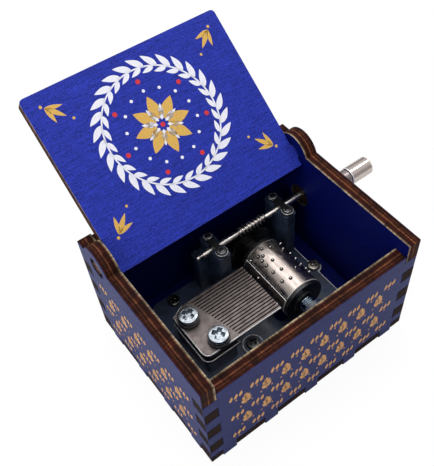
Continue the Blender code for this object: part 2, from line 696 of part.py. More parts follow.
def comb_fasteners():
    washer_bottom = COMB_TOP + SEAT_GAP
    washer_top = washer_bottom + WASHER_THICKNESS
    bore = COMB_SCREW_SHANK + RUNNING_GAP
    for name, place in COMB_SCREW_PLACES.items():
        profile = [
            (WASHER_RADIUS, WASHER_THICKNESS), (WASHER_RADIUS, 0), (bore, 0), (bore, WASHER_THICKNESS),
        ]
        washer = turned("comb_washer_" + name, profile, (*place, washer_bottom), (0, 0, 0), 28)
        finish(washer, material("washer_black_" + name, (0.01, 0.01, 0.011), 0.5))
        pan_screw(
            "comb_screw_" + name, place, washer_top + SEAT_GAP, COMB_SCREW_HEAD, COMB_SCREW_HEIGHT,
            COMB_SCREW_SHANK, BED_TOP + COMB_SCREW_TIP_ABOVE_BED, bright_steel("comb_screw_zinc_" + name),
        )


def mounting_screws():
    """Screws from the bedplate into the floor; the one behind the comb is blackened."""
    for name, place in MOUNT_SCREW_PLACES.items():
        seat = BED_TOP + SEAT_GAP
        if name == "front":
            seat += BOSS_HEIGHT
        look = bright_steel("mount_screw_" + name)
        if name == "rear_left":
            look = black_plastic("mount_screw_" + name)
        pan_screw(
            "mounting_screw_" + name, place, seat, MOUNT_SCREW_HEAD, MOUNT_SCREW_HEIGHT,
            MOUNT_SCREW_SHANK, MOUNT_SCREW_TIP, look,
        )


def two_ended(start, start_radius, end, end_radius, waist):
    """An outline of two round ends joined by straight sides of half-width `waist`, along the local Y axis."""
    start_open = math.degrees(math.asin(min(waist / start_radius, 1)))
    end_open = math.degrees(math.asin(min(waist / end_radius, 1)))
    low = arc((0, start), start_radius, 90 + start_open, 450 - start_open, 15)
    high = arc((0, end), end_radius, 270 + end_open, 630 - end_open, 15)
    return low + high


def bearing_straps():
    for side, x in zip(("left", "right"), POST_XS):
        loop = two_ended(RIVET_YS[0], STRAP_FRONT_RADIUS, RIVET_YS[1], STRAP_REAR_RADIUS, STRAP_WAIST)
        holes = [circle((0, y), RIVET_RADIUS + RUNNING_GAP, 14) for y in RIVET_YS]
        middle = (x, 0, (STRAP_BOTTOM + STRAP_TOP) / 2)
        strap = flat_solid("bearing_strap_" + side, [loop] + holes, STRAP_THICKNESS, middle)
        finish(strap, zinc_casting("strap_steel_" + side))
        for end, y in zip(("front", "rear"), RIVET_YS):
            profile = [
                (0, RIVET_HEIGHT), (0.6 * RIVET_HEAD, 0.85 * RIVET_HEIGHT), (RIVET_HEAD, 0.35 * RIVET_HEIGHT),
                (RIVET_HEAD, 0), (RIVET_RADIUS, 0), (RIVET_RADIUS, -RIVET_DEPTH), (0, -RIVET_DEPTH),
            ]
            rivet = turned(f"strap_rivet_{side}_{end}", profile, (x, y, STRAP_TOP + SEAT_GAP), (0, 0, 0), 16)
            finish(rivet, zinc_casting(f"rivet_{side}_{end}"))


def drum():
    """The drum's own body: arbor, black core with flanges and hub, pinned sleeve and worm wheel."""
    axis = (DRUM_X, 0, DRUM_Z)
    arbor_front = PIVOT_SCREW_REAR - PIVOT_TIP_LENGTH
    arbor_rear = REAR_LUG_FRONT + REAR_LUG
    shoulder = FLANGE_FRONT - FRONT_HUB
    profile = [
        (0, arbor_rear), (ARBOR_RADIUS, arbor_rear), (ARBOR_RADIUS, shoulder),
        (PIVOT_TIP_RADIUS, shoulder), (PIVOT_TIP_RADIUS, arbor_front), (0, arbor_front),
    ]
    finish(turned("drum_arbor", profile, axis, ALONG_Y, 20), bright_steel("arbor_steel"))

    bore = ARBOR_RADIUS + SEAT_GAP
    core = SLEEVE_RADIUS - SLEEVE_WALL - SEAT_GAP
    flange_rear = SLEEVE_REAR + SEAT_GAP + FLANGE_WIDTH
    hub_end = SHAFT_Y - WHEEL_WIDTH / 2 - SEAT_GAP
    profile = [
        (HUB_RADIUS, hub_end), (HUB_RADIUS, flange_rear), (SLEEVE_RADIUS, flange_rear),
        (SLEEVE_RADIUS, SLEEVE_REAR + SEAT_GAP), (core, SLEEVE_REAR + SEAT_GAP),
        (core, SLEEVE_FRONT - SEAT_GAP), (SLEEVE_RADIUS, SLEEVE_FRONT - SEAT_GAP),
        (SLEEVE_RADIUS, FLANGE_FRONT), (FRONT_HUB_RADIUS, FLANGE_FRONT),
        (FRONT_HUB_RADIUS, FLANGE_FRONT - FRONT_HUB), (bore, FLANGE_FRONT - FRONT_HUB), (bore, hub_end),
    ]
    finish(turned("drum_core", profile, axis, ALONG_Y, 44), black_plastic("core_plastic"))
    pinned_sleeve()
    worm_wheel()


def pinned_sleeve():
    """A rolled sheet sleeve, open at its seam, with one conical pin for each plucked note."""
    half_seam = SEAM_WIDTH / 2 / SLEEVE_RADIUS
    start = math.degrees(SEAM_ANGLE + half_seam)
    end = start + 360 - 2 * math.degrees(half_seam)
    outline = arc((0, 0), SLEEVE_RADIUS, start, end, 56)
    outline += arc((0, 0), SLEEVE_RADIUS - SLEEVE_WALL, end, start, 56)
    middle = (SLEEVE_FRONT + SLEEVE_REAR) / 2
    sleeve = flat_solid("pinned_sleeve", [outline], SLEEVE_LENGTH, (DRUM_X, middle, DRUM_Z), UPRIGHT)

    edit = bmesh.new()
    foot = SLEEVE_RADIUS - SLEEVE_WALL / 2
    height = SLEEVE_RADIUS + PIN_HEIGHT - foot
    for degrees, teeth in TUNE.items():
        turn = Matrix.Rotation(math.radians(90 - degrees), 4, "Y")
        for tooth in teeth:
            along = COMB_Y + COMB_WIDTH / 2 - (tooth + 0.5) * TOOTH_PITCH
            place = Matrix.Translation((0, along, 0)) @ turn @ Matrix.Translation((0, 0, foot + height / 2))
            bmesh.ops.create_cone(
                edit, cap_ends=True, segments=8, radius1=PIN_RADIUS, radius2=0.5 * PIN_RADIUS, depth=height,
                matrix=place,
            )
    mesh = bpy.data.meshes.new("drum_pins")
    edit.to_mesh(mesh)
    edit.free()
    pins = mesh_object("drum_pins", mesh, cutters)
    pins.location = (DRUM_X, 0, DRUM_Z)
    boolean(sleeve, pins, "UNION")
    return finish(sleeve, material("sleeve_nickel", (0.7, 0.66, 0.62), 0.2, 1.0))


def worm_wheel():
    """A wheel whose teeth are twisted by the worm's lead, meeting the worm above it."""
    lead = math.atan(WORM_PITCH / (math.tau * WORM_PITCH_RADIUS))
    tip_radius = WHEEL_PITCH_RADIUS + ADDENDUM
    root_radius = SHAFT_Z - DRUM_Z - WORM_CREST - GEAR_CLEARANCE
    thickness = TOOTH_SHARE * WORM_PITCH
    tip_half = thickness / 2 - ADDENDUM * math.tan(PRESSURE_ANGLE)
    root_half = thickness / 2 + (WHEEL_PITCH_RADIUS - root_radius) * math.tan(PRESSURE_ANGLE)
    outline = []
    for index in range(WHEEL_TEETH):
        middle = math.tau * index / WHEEL_TEETH
        left = [(root_radius, -root_half), (tip_radius, -tip_half)]
        right = [(tip_radius, tip_half), (root_radius, root_half)]
        for radius, across in left + right:
            angle = middle + across / radius
            outline.append((radius * math.cos(angle), radius * math.sin(angle)))
    bore = circle((0, 0), ARBOR_RADIUS + SEAT_GAP, 20)
    wheel = flat_solid("worm_wheel", [outline, bore], WHEEL_WIDTH, (DRUM_X, SHAFT_Y, DRUM_Z), UPRIGHT)
    for vertex in wheel.data.vertices:
        twist = Matrix.Rotation(math.tan(lead) / WHEEL_PITCH_RADIUS * vertex.co.z, 4, "Z")
        vertex.co = twist @ vertex.co
    return finish(wheel, black_plastic("wheel_plastic"))


def worm_radius(along, around):
    """The worm's radius at a distance along the shaft and an angle around it, on a right-hand thread."""
    crest_half = TOOTH_SHARE * WORM_PITCH / 2 - ADDENDUM * math.tan(PRESSURE_ANGLE)
    root_half = crest_half + (WORM_CREST - WORM_ROOT) * math.tan(PRESSURE_ANGLE)
    phase = along - WORM_PITCH / 2 - WORM_PITCH * around / math.tau
    off_crest = abs((phase / WORM_PITCH + 0.5) % 1 - 0.5) * WORM_PITCH
    share = min(max((off_crest - crest_half) / (root_half - crest_half), 0), 1)
    return WORM_CREST + (WORM_ROOT - WORM_CREST) * share


def crank_shaft():
    """The shaft as rings along X: a ball end and neck, the worm, and a plain run out to the arm."""
    sides = 16
    rings_per_pitch = 7
    worm_start = WORM_OFFSET - WORM_LENGTH / 2
    worm_end = WORM_OFFSET + WORM_LENGTH / 2
    left_end = POST_XS[0] - DRUM_X - SHAFT_TAIL
    neck_end = left_end + SHAFT_NECK_END
    rings = []
    for degrees in (25, 60, 90, 120):
        angle = math.radians(degrees)
        rings.append((left_end + SHAFT_BALL * (1 - math.cos(angle)), SHAFT_BALL * math.sin(angle)))
    rings += [(left_end + 2 * SHAFT_BALL, SHAFT_NECK), (neck_end, SHAFT_NECK), (neck_end, SHAFT_RADIUS)]
    rings.append((worm_start - SHAFT_RADIUS, SHAFT_RADIUS))
    tail = [(worm_end + SHAFT_RADIUS, SHAFT_RADIUS), (ARM_RIGHT + SHAFT_END - DRUM_X, SHAFT_RADIUS)]
    worm_rings = math.ceil(WORM_LENGTH / WORM_PITCH * rings_per_pitch)

    edit = bmesh.new()
    angles = [math.tau * index / sides for index in range(sides)]

    def add_ring(along, radii):
        return [edit.verts.new((r * math.cos(a), r * math.sin(a), along)) for a, r in zip(angles, radii)]

    sections = [add_ring(along, [radius] * sides) for along, radius in rings]
    for index in range(worm_rings + 1):
        along = worm_start + (worm_end - worm_start) * index / worm_rings
        fade = min(along - worm_start, worm_end - along) / (WORM_PITCH / 2)
        radii = []
        for angle in angles:
            full = worm_radius(along, angle)
            radii.append(WORM_ROOT + (full - WORM_ROOT) * min(fade, 1))
        sections.append(add_ring(along, radii))
    sections += [add_ring(along, [radius] * sides) for along, radius in tail]
    for lower, upper in zip(sections, sections[1:]):
        for index in range(sides):
            after = (index + 1) % sides
            edit.faces.new((lower[index], lower[after], upper[after], upper[index]))
    edit.faces.new(list(reversed(sections[0])))
    edit.faces.new(sections[-1])
    mesh = bpy.data.meshes.new("crank_shaft")
    edit.to_mesh(mesh)
    edit.free()
    made = mesh_object("crank_shaft", mesh, parts)
    made.location = (DRUM_X, SHAFT_Y, SHAFT_Z)
    made.rotation_euler = ALONG_X
    return finish(made, bright_steel("shaft_steel"))


def crank():
    """The crank's own body: shaft with worm, arm and knob pin, and the knob that turns on the pin."""
    crank_shaft()
    loop = two_ended(0, ARM_RADIUS, ARM_LENGTH, ARM_RADIUS, ARM_WAIST)
    shaft_hole = circle((0, 0), SHAFT_RADIUS + SEAT_GAP, 18)
    pin_hole = circle((0, ARM_LENGTH), KNOB_PIN_RADIUS + SEAT_GAP, 18)
    middle = ((ARM_LEFT + ARM_RIGHT) / 2, SHAFT_Y, SHAFT_Z)
    arm = flat_solid("crank_arm", [loop, shaft_hole, pin_hole], ARM_THICKNESS, middle)
    lean = Matrix.Rotation(ARM_ANGLE - math.radians(90), 4, "X")
    arm.rotation_euler = (lean @ Matrix(((0, 0, 1, 0), (1, 0, 0, 0), (0, 1, 0, 0), (0, 0, 0, 1)))).to_euler()
    finish(arm, bright_steel("arm_steel"))

    head = KNOB_PIN_HEAD
    head_height = KNOB_PIN_HEAD_HEIGHT
    pin_left = ARM_LEFT - SEAT_GAP
    knob_right = KNOB_LEFT + KNOB_LENGTH
    pin_right = knob_right + RUNNING_GAP
    profile = [
        (0, pin_right + head_height), (0.7 * head, pin_right + 0.8 * head_height), (head, pin_right),
        (KNOB_PIN_RADIUS, pin_right), (KNOB_PIN_RADIUS, pin_left), (head, pin_left),
        (0.7 * head, pin_left - 0.8 * head_height), (0, pin_left - head_height),
    ]
    finish(turned("knob_pin", profile, (0, KNOB_Y, KNOB_Z), ALONG_X, 20), bright_steel("pin_steel"))

    bore = KNOB_PIN_RADIUS + RUNNING_GAP
    profile = [
        (KNOB_RADIUS - KNOB_CHAMFER, knob_right), (KNOB_RADIUS, knob_right - KNOB_CHAMFER),
        (KNOB_RADIUS, KNOB_LEFT + KNOB_CHAMFER), (KNOB_RADIUS - KNOB_CHAMFER, KNOB_LEFT),
        (bore, KNOB_LEFT), (bore, knob_right),
    ]
    finish(turned("crank_knob", profile, (0, KNOB_Y, KNOB_Z), ALONG_X, 36), bright_steel("knob_steel"))


def pivot_screw():
    """The screw in the front lug whose hollow tip carries the drum's front pivot."""
    cup = PIVOT_TIP_RADIUS + RUNNING_GAP
    cup_bottom = PIVOT_SCREW_REAR - PIVOT_CUP_DEPTH
    front = FRONT_LUG_FRONT - PIVOT_SCREW_END
    profile = [
        (0, cup_bottom), (cup, cup_bottom), (cup, PIVOT_SCREW_REAR), (PIVOT_SCREW_RADIUS, PIVOT_SCREW_REAR),
        (PIVOT_SCREW_RADIUS, front), (0, front),
    ]
    made = turned("drum_pivot_screw", profile, (DRUM_X, 0, DRUM_Z), ALONG_Y, 24)
    reach = 1.5 * PIVOT_SCREW_RADIUS
    half = PIVOT_SLOT[0] / 2
    slot = flat_solid(
        "pivot_slot", [[(-reach, -half), (reach, -half), (reach, half), (-reach, half)]],
        2 * PIVOT_SLOT[1], (DRUM_X, front, DRUM_Z), UPRIGHT, group=cutters,
    )
    boolean(made, slot)
    return finish(made, bright_steel("pivot_screw_steel"))


case_panels()
lid()
bedplate()
comb_base()
comb()
comb_fasteners()
mounting_screws()
bearing_straps()
drum()
pivot_screw()
crank()
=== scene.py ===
"""A hand-cranked music box: printed plywood case and lid, and a bright comb movement."""

import json
import math

import bmesh
import bpy
from mathutils import Matrix, Vector


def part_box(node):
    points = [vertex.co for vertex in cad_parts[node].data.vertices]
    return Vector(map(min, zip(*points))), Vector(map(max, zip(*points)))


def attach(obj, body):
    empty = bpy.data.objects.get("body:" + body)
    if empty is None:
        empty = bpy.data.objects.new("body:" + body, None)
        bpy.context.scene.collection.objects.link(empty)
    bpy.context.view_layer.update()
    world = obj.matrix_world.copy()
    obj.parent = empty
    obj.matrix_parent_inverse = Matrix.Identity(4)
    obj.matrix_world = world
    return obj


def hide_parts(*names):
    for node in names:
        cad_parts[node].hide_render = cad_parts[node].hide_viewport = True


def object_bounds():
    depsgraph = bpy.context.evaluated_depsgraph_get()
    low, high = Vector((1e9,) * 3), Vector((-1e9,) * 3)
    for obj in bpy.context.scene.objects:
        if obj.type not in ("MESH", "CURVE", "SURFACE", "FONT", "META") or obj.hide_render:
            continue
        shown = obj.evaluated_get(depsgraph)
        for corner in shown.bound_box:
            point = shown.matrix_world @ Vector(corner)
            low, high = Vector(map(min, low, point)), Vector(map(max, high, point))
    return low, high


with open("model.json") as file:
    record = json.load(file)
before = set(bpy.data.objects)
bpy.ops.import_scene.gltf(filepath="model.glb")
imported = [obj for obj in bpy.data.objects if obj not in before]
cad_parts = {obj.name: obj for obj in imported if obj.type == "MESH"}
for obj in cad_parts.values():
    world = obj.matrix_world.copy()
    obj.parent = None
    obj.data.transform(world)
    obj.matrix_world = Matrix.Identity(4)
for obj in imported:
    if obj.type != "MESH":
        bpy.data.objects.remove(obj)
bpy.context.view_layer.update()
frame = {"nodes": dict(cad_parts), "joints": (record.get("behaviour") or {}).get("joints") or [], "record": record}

# Camera. It looks down over the left front corner from arm's length, as the photograph does. Its place,
# turn and lens come from fitting the case's corners, finger joints and lid.
MM = 0.001
view = bpy.data.cameras.new("photo_view")
view.sensor_fit = "HORIZONTAL"
view.sensor_width = 36
view.lens = 58.08
view.shift_x = -0.0554
view.shift_y = -0.0082
view.clip_start = 10 * MM
camera = bpy.data.objects.new("photo_view", view)
camera.location = (-58.66 * MM, -82.53 * MM, 169.37 * MM)
camera.rotation_euler = [math.radians(angle) for angle in (38.28, 2.14, -37.38)]
bpy.context.scene.collection.objects.link(camera)
bpy.context.scene.camera = camera
bpy.context.scene.view_settings.view_transform = "Standard"


# Studio. A white table in a white room, with a large soft box overhead and behind, and smaller ones at the
# left, over the front and at the right. The table keeps a soft shadow. Metal mirrors a bright ceiling and
# duller walls.
def srgb(code):
    """A colour written as sRGB hex, turned to the linear values that a shader takes."""
    channels = [int(code[index : index + 2], 16) / 255 for index in (1, 3, 5)]
    return (*[c / 12.92 if c <= 0.04045 else ((c + 0.055) / 1.055) ** 2.4 for c in channels], 1)


def add(tree, kind, settings=None, inputs=None):
    """Adds one node. An input takes a value, or another node's output, and `stops` fills a colour ramp."""
    node = tree.nodes.new(kind)
    for name, value in (settings or {}).items():
        if name != "stops":
            setattr(node, name, value)
            continue
        ramp = node.color_ramp.elements
        while len(ramp) < len(value):
            ramp.new(1)
        for element, (position, code) in zip(ramp, value):
            element.position = position
            element.color = srgb(code)
    for name, value in (inputs or {}).items():
        if isinstance(value, bpy.types.NodeSocket):
            tree.links.new(value, node.inputs[name])
        else:
            node.inputs[name].default_value = value
    return node


def show(name, data):
    """Puts an object of this mesh or lamp in the scene."""
    made = bpy.data.objects.new(name, data)
    bpy.context.scene.collection.objects.link(made)
    return made


room = bpy.data.worlds.new("white_room")
bpy.context.scene.world = room
room.use_nodes = True
tree = room.node_tree
tree.nodes.clear()
ray = add(tree, "ShaderNodeLightPath")
ROOM_LIGHT = 0.42
# Metal mirrors the walls' light up to WALL_TOP, and the ceiling's from CEILING_FROM.
HORIZON_LIGHT = 0.2
CEILING_LIGHT = 0.85
WALL_TOP = 0.1
CEILING_FROM = 0.75
towards = add(tree, "ShaderNodeTexCoord").outputs["Object"]
height = add(tree, "ShaderNodeSeparateXYZ", {}, {"Vector": towards}).outputs["Z"]
by_height = add(tree, "ShaderNodeMapRange", {}, {
    "Value": height, "From Min": WALL_TOP, "From Max": CEILING_FROM,
    "To Min": HORIZON_LIGHT, "To Max": CEILING_LIGHT,
})
mirrored = add(tree, "ShaderNodeMath", {"operation": "MULTIPLY"}, {
    0: ray.outputs["Is Glossy Ray"], 1: by_height.outputs[0],
})
watched = add(tree, "ShaderNodeMath", {"operation": "MAXIMUM"}, {
    0: ray.outputs["Is Camera Ray"], 1: mirrored.outputs[0],
})
seen = add(tree, "ShaderNodeMath", {"operation": "MAXIMUM"}, {0: watched.outputs[0], 1: ROOM_LIGHT})
glow = add(tree, "ShaderNodeBackground", {}, {"Color": srgb("#ffffff"), "Strength": seen.outputs[0]})
add(tree, "ShaderNodeOutputWorld", {}, {"Surface": glow.outputs[0]})

for name, place, side, watts in (
    ("overhead_softbox", (0.04, 0.24, 0.44), 0.46, 1.15),
    ("left_softbox", (-0.47, -0.07, 0.26), 0.34, 1.05),
    ("front_softbox", (-0.02, -0.10, 0.45), 0.16, 0.25),
    ("right_softbox", (0.29, 0.03, 0.44), 0.12, 0.3),
):
    lamp = bpy.data.lights.new(name, "AREA")
    lamp.shape = "SQUARE"
    lamp.size = side
    lamp.energy = watts
    softbox = show(name, lamp)
    softbox.location = place
    softbox.rotation_euler = Vector(place).to_track_quat("Z", "Y").to_euler()

# White laminate, matt and evenly lit: to the eye a paper-white ground that keeps only the soft shadow.
TABLE_SIZE = 1.6
TABLE_DROP = 0.02 * MM
TABLE_GLOW = 1.03
GLOW_SHARE = 0.9
case_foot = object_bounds()[0][2]
table_mesh = bpy.data.meshes.new("table")
edit = bmesh.new()
bmesh.ops.create_grid(edit, x_segments=1, y_segments=1, size=TABLE_SIZE / 2)
edit.to_mesh(table_mesh)
edit.free()
table = show("table", table_mesh)
table.location.z = case_foot - TABLE_DROP
laminate = bpy.data.materials.new("white_laminate")
laminate.use_nodes = True
tree = laminate.node_tree
tree.nodes.clear()
ray = add(tree, "ShaderNodeLightPath")
lit = add(tree, "ShaderNodeBsdfDiffuse", {}, {"Color": srgb("#f4f4f3")})
white = add(tree, "ShaderNodeEmission", {}, {"Color": srgb("#ffffff"), "Strength": TABLE_GLOW})
share = add(tree, "ShaderNodeMath", {"operation": "MULTIPLY"}, {
    0: ray.outputs["Is Camera Ray"], 1: GLOW_SHARE,
})
both = add(tree, "ShaderNodeMixShader", {}, {0: share.outputs[0], 1: lit.outputs[0], 2: white.outputs[0]})
add(tree, "ShaderNodeOutputMaterial", {}, {"Surface": both.outputs[0]})
table_mesh.materials.append(laminate)


# Case. Five panels of 3.8 mm birch plywood, cut by laser, so their edges are burnt brown, with the plies
# showing as darker and lighter lines. The outer faces are printed blue and the inner ones near black blue.
bodies = frame["record"]["behaviour"]["bodies"]
body_of = {node: body for body, nodes in bodies.items() for node in nodes}


def settle(piece, node):
    """Lets a finished piece stand for a frame node and move with that node's body."""
    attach(piece, body_of[node])
    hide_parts(node)
    return piece


def eased(name, mesh, finishes, edge, corner=40, weighed=False):
    """Shows a mesh with its round sides smooth and its sharp corners eased by `edge`.

    A second finish is for the eased corners: a paler one that paints a highlight along them, and on metal also
    stands for plating or black rubbed off there. With `weighed`, each corner's own weight says how much of `edge`
    it has.
    """
    mesh.materials.clear()
    for finish in finishes:
        mesh.materials.append(finish)
    mesh.shade_smooth()
    mesh.set_sharp_from_angle(angle=math.radians(corner))
    piece = show(name, mesh)
    bevel = piece.modifiers.new("eased_edges", "BEVEL")
    bevel.width = edge
    bevel.segments = 2
    bevel.limit_method = "WEIGHT" if weighed else "ANGLE"
    bevel.angle_limit = math.radians(corner)
    bevel.use_clamp_overlap = not weighed
    bevel.harden_normals = True
    bevel.material = len(finishes) - 1
    return piece


def dressed(node, name, finishes, edge, corner=40, weigh=None):
    """A merged copy of a frame node, eased. `weigh` says what share of `edge` a corner has."""
    mesh = frame["nodes"][node].data.copy()
    edit = bmesh.new()
    edit.from_mesh(mesh)
    bmesh.ops.remove_doubles(edit, verts=edit.verts, dist=0.0005 * MM)
    flat = math.radians(0.5)
    bmesh.ops.dissolve_limit(edit, angle_limit=flat, verts=edit.verts, edges=edit.edges)
    if weigh:
        shares = edit.edges.layers.float.new("bevel_weight_edge")
        for rim in edit.edges:
            rim[shares] = weigh(rim)
    edit.to_mesh(mesh)
    edit.free()
    for layer in list(mesh.attributes):
        if layer.name == "custom_normal":
            mesh.attributes.remove(layer)
    return settle(eased(name, mesh, finishes, edge, corner, weigh is not None), node)


# Sizes in the plywood's pattern, in millimetres, and levels as shares of a colour's own brightness.
PLY_WAVE = 4
STREAK_WIDTH = 0.35
STREAK_LENGTH = 3
PATCH_SIZE = 2.6
FIBRE_WIDTH = 0.22
FIBRE_LENGTH = 4
SPECK_SIZE = 0.35
STREAK_LEVELS = (0.3, 1.7)
PATCH_LEVELS = (0.4, 1.25)
INK_LEVELS = (0.5, 1.5)
# How dark the painted shade in the crank's hole is, and how far from its axis it reaches.
BORE_SHADE_LEVEL = 0.15
BORE_SHADE_REACH = (4.5 * MM, 5 * MM)


def ply_edge(tree, place, depth, across):
    """The colour of a cut edge: its plies by depth, streaked across the sheet and in darker and lighter
    patches. It also gives the streaks, which the charred ends share."""
    wave = add(tree, "ShaderNodeTexNoise", {}, {"Vector": place, "Scale": 1 / (PLY_WAVE * MM), "Detail": 2})
    shift = add(tree, "ShaderNodeMath", {"operation": "MULTIPLY_ADD"}, {
        0: wave.outputs["Fac"], 1: 0.09, 2: -0.045,
    })
    ply_depth = add(tree, "ShaderNodeMath", {"operation": "ADD"}, {0: depth, 1: shift.outputs[0]})
    plies = add(tree, "ShaderNodeValToRGB", {"stops": [
        (0.00, "#4a3436"), (0.05, "#32140e"), (0.20, "#260c07"), (0.28, "#4d2817"), (0.33, "#1f0a06"),
        (0.42, "#3f180c"), (0.49, "#744a31"), (0.53, "#451d0f"), (0.62, "#2d0f09"), (0.82, "#300f08"),
        (0.88, "#745942"), (0.96, "#9c8e74"),
    ]}, {"Fac": ply_depth.outputs[0]})
    streak_size = Vector((STREAK_WIDTH, STREAK_WIDTH, STREAK_WIDTH))
    streak_size += STREAK_LENGTH * Vector([abs(c) for c in across.normalized()])
    streak_place = add(tree, "ShaderNodeMapping", {}, {
        "Vector": place, "Scale": [1 / (size * MM) for size in streak_size],
    })
    streaks = add(tree, "ShaderNodeTexNoise", {}, {
        "Vector": streak_place.outputs[0], "Scale": 1, "Detail": 3, "Roughness": 0.65,
    })
    streak_level = add(tree, "ShaderNodeMapRange", {}, {
        "Value": streaks.outputs["Fac"], "From Min": 0.3, "From Max": 0.7,
        "To Min": STREAK_LEVELS[0], "To Max": STREAK_LEVELS[1],
    })
    patch = add(tree, "ShaderNodeTexNoise", {}, {
        "Vector": place, "Scale": 1 / (PATCH_SIZE * MM), "Detail": 2,
    })
    patch_level = add(tree, "ShaderNodeMapRange", {}, {
        "Value": patch.outputs["Fac"], "From Min": 0.35, "From Max": 0.62,
        "To Min": PATCH_LEVELS[0], "To Max": PATCH_LEVELS[1],
    })
    level = add(tree, "ShaderNodeMath", {"operation": "MULTIPLY"}, {
        0: streak_level.outputs[0], 1: patch_level.outputs[0],
    })
    burnt = add(tree, "ShaderNodeVectorMath", {"operation": "SCALE"}, {
        0: plies.outputs["Color"], "Scale": level.outputs[0],
    })
    return burnt.outputs[0], streaks.outputs["Fac"]


def char_and_painted_shade(tree, place, edge, streaks, undarkened_box, char_and_shade_top):
    """An edge's colour, darkened outside the box `undarkened_box` and below `char_and_shade_top`: char on the
    fingers' ends, and painted shade on the tabs below the floor and on the floor's edges.
    """
    middle = (undarkened_box[0] + undarkened_box[1]) / 2
    reach = (undarkened_box[1] - undarkened_box[0]) / 2
    from_middle = add(tree, "ShaderNodeVectorMath", {"operation": "SUBTRACT"}, {0: place, 1: middle})
    distance = add(tree, "ShaderNodeVectorMath", {"operation": "ABSOLUTE"}, {0: from_middle.outputs[0]})
    past = add(tree, "ShaderNodeVectorMath", {"operation": "SUBTRACT"}, {0: distance.outputs[0], 1: reach})
    sides = add(tree, "ShaderNodeSeparateXYZ", {}, {"Vector": past.outputs[0]}).outputs
    widest = add(tree, "ShaderNodeMath", {"operation": "MAXIMUM"}, {0: sides["X"], 1: sides["Y"]})
    widest = add(tree, "ShaderNodeMath", {"operation": "MAXIMUM"}, {0: widest.outputs[0], 1: sides["Z"]})
    is_outside = add(tree, "ShaderNodeMath", {"operation": "GREATER_THAN"}, {0: widest.outputs[0], 1: 0})
    height = add(tree, "ShaderNodeSeparateXYZ", {}, {"Vector": place}).outputs["Z"]
    is_below = add(tree, "ShaderNodeMath", {"operation": "LESS_THAN"}, {0: height, 1: char_and_shade_top})
    is_darkened = add(tree, "ShaderNodeMath", {"operation": "MULTIPLY"}, {
        0: is_outside.outputs[0], 1: is_below.outputs[0],
    })
    # Near black: char on the fingers' ends, and painted shade on the tabs and the floor's edges.
    char_and_shade = add(tree, "ShaderNodeValToRGB", {"stops": [(0.35, "#0a0403"), (0.62, "#2c1711")]}, {
        "Fac": streaks,
    })
    mixed = add(tree, "ShaderNodeMix", {"data_type": "RGBA"}, {
        0: is_darkened.outputs[0], 6: edge, 7: char_and_shade.outputs["Color"],
    })
    return mixed.outputs[2]


def painted_bore_shade(tree, place, edge, across, bore):
    """An edge's colour, darkened as painted shade in the round hole whose axis goes through `bore`."""
    in_sheet = add(tree, "ShaderNodeVectorMath", {"operation": "MULTIPLY"}, {
        0: place, 1: [1 - abs(c) for c in across.normalized()],
    })
    to_bore = add(tree, "ShaderNodeVectorMath", {"operation": "DISTANCE"}, {0: in_sheet.outputs[0], 1: bore})
    level = add(tree, "ShaderNodeMapRange", {}, {
        "Value": to_bore.outputs["Value"], "From Min": BORE_SHADE_REACH[0], "From Max": BORE_SHADE_REACH[1],
        "To Min": BORE_SHADE_LEVEL, "To Max": 1,
    })
    darkened = add(tree, "ShaderNodeVectorMath", {"operation": "SCALE"}, {0: edge, "Scale": level.outputs[0]})
    return darkened.outputs[0]


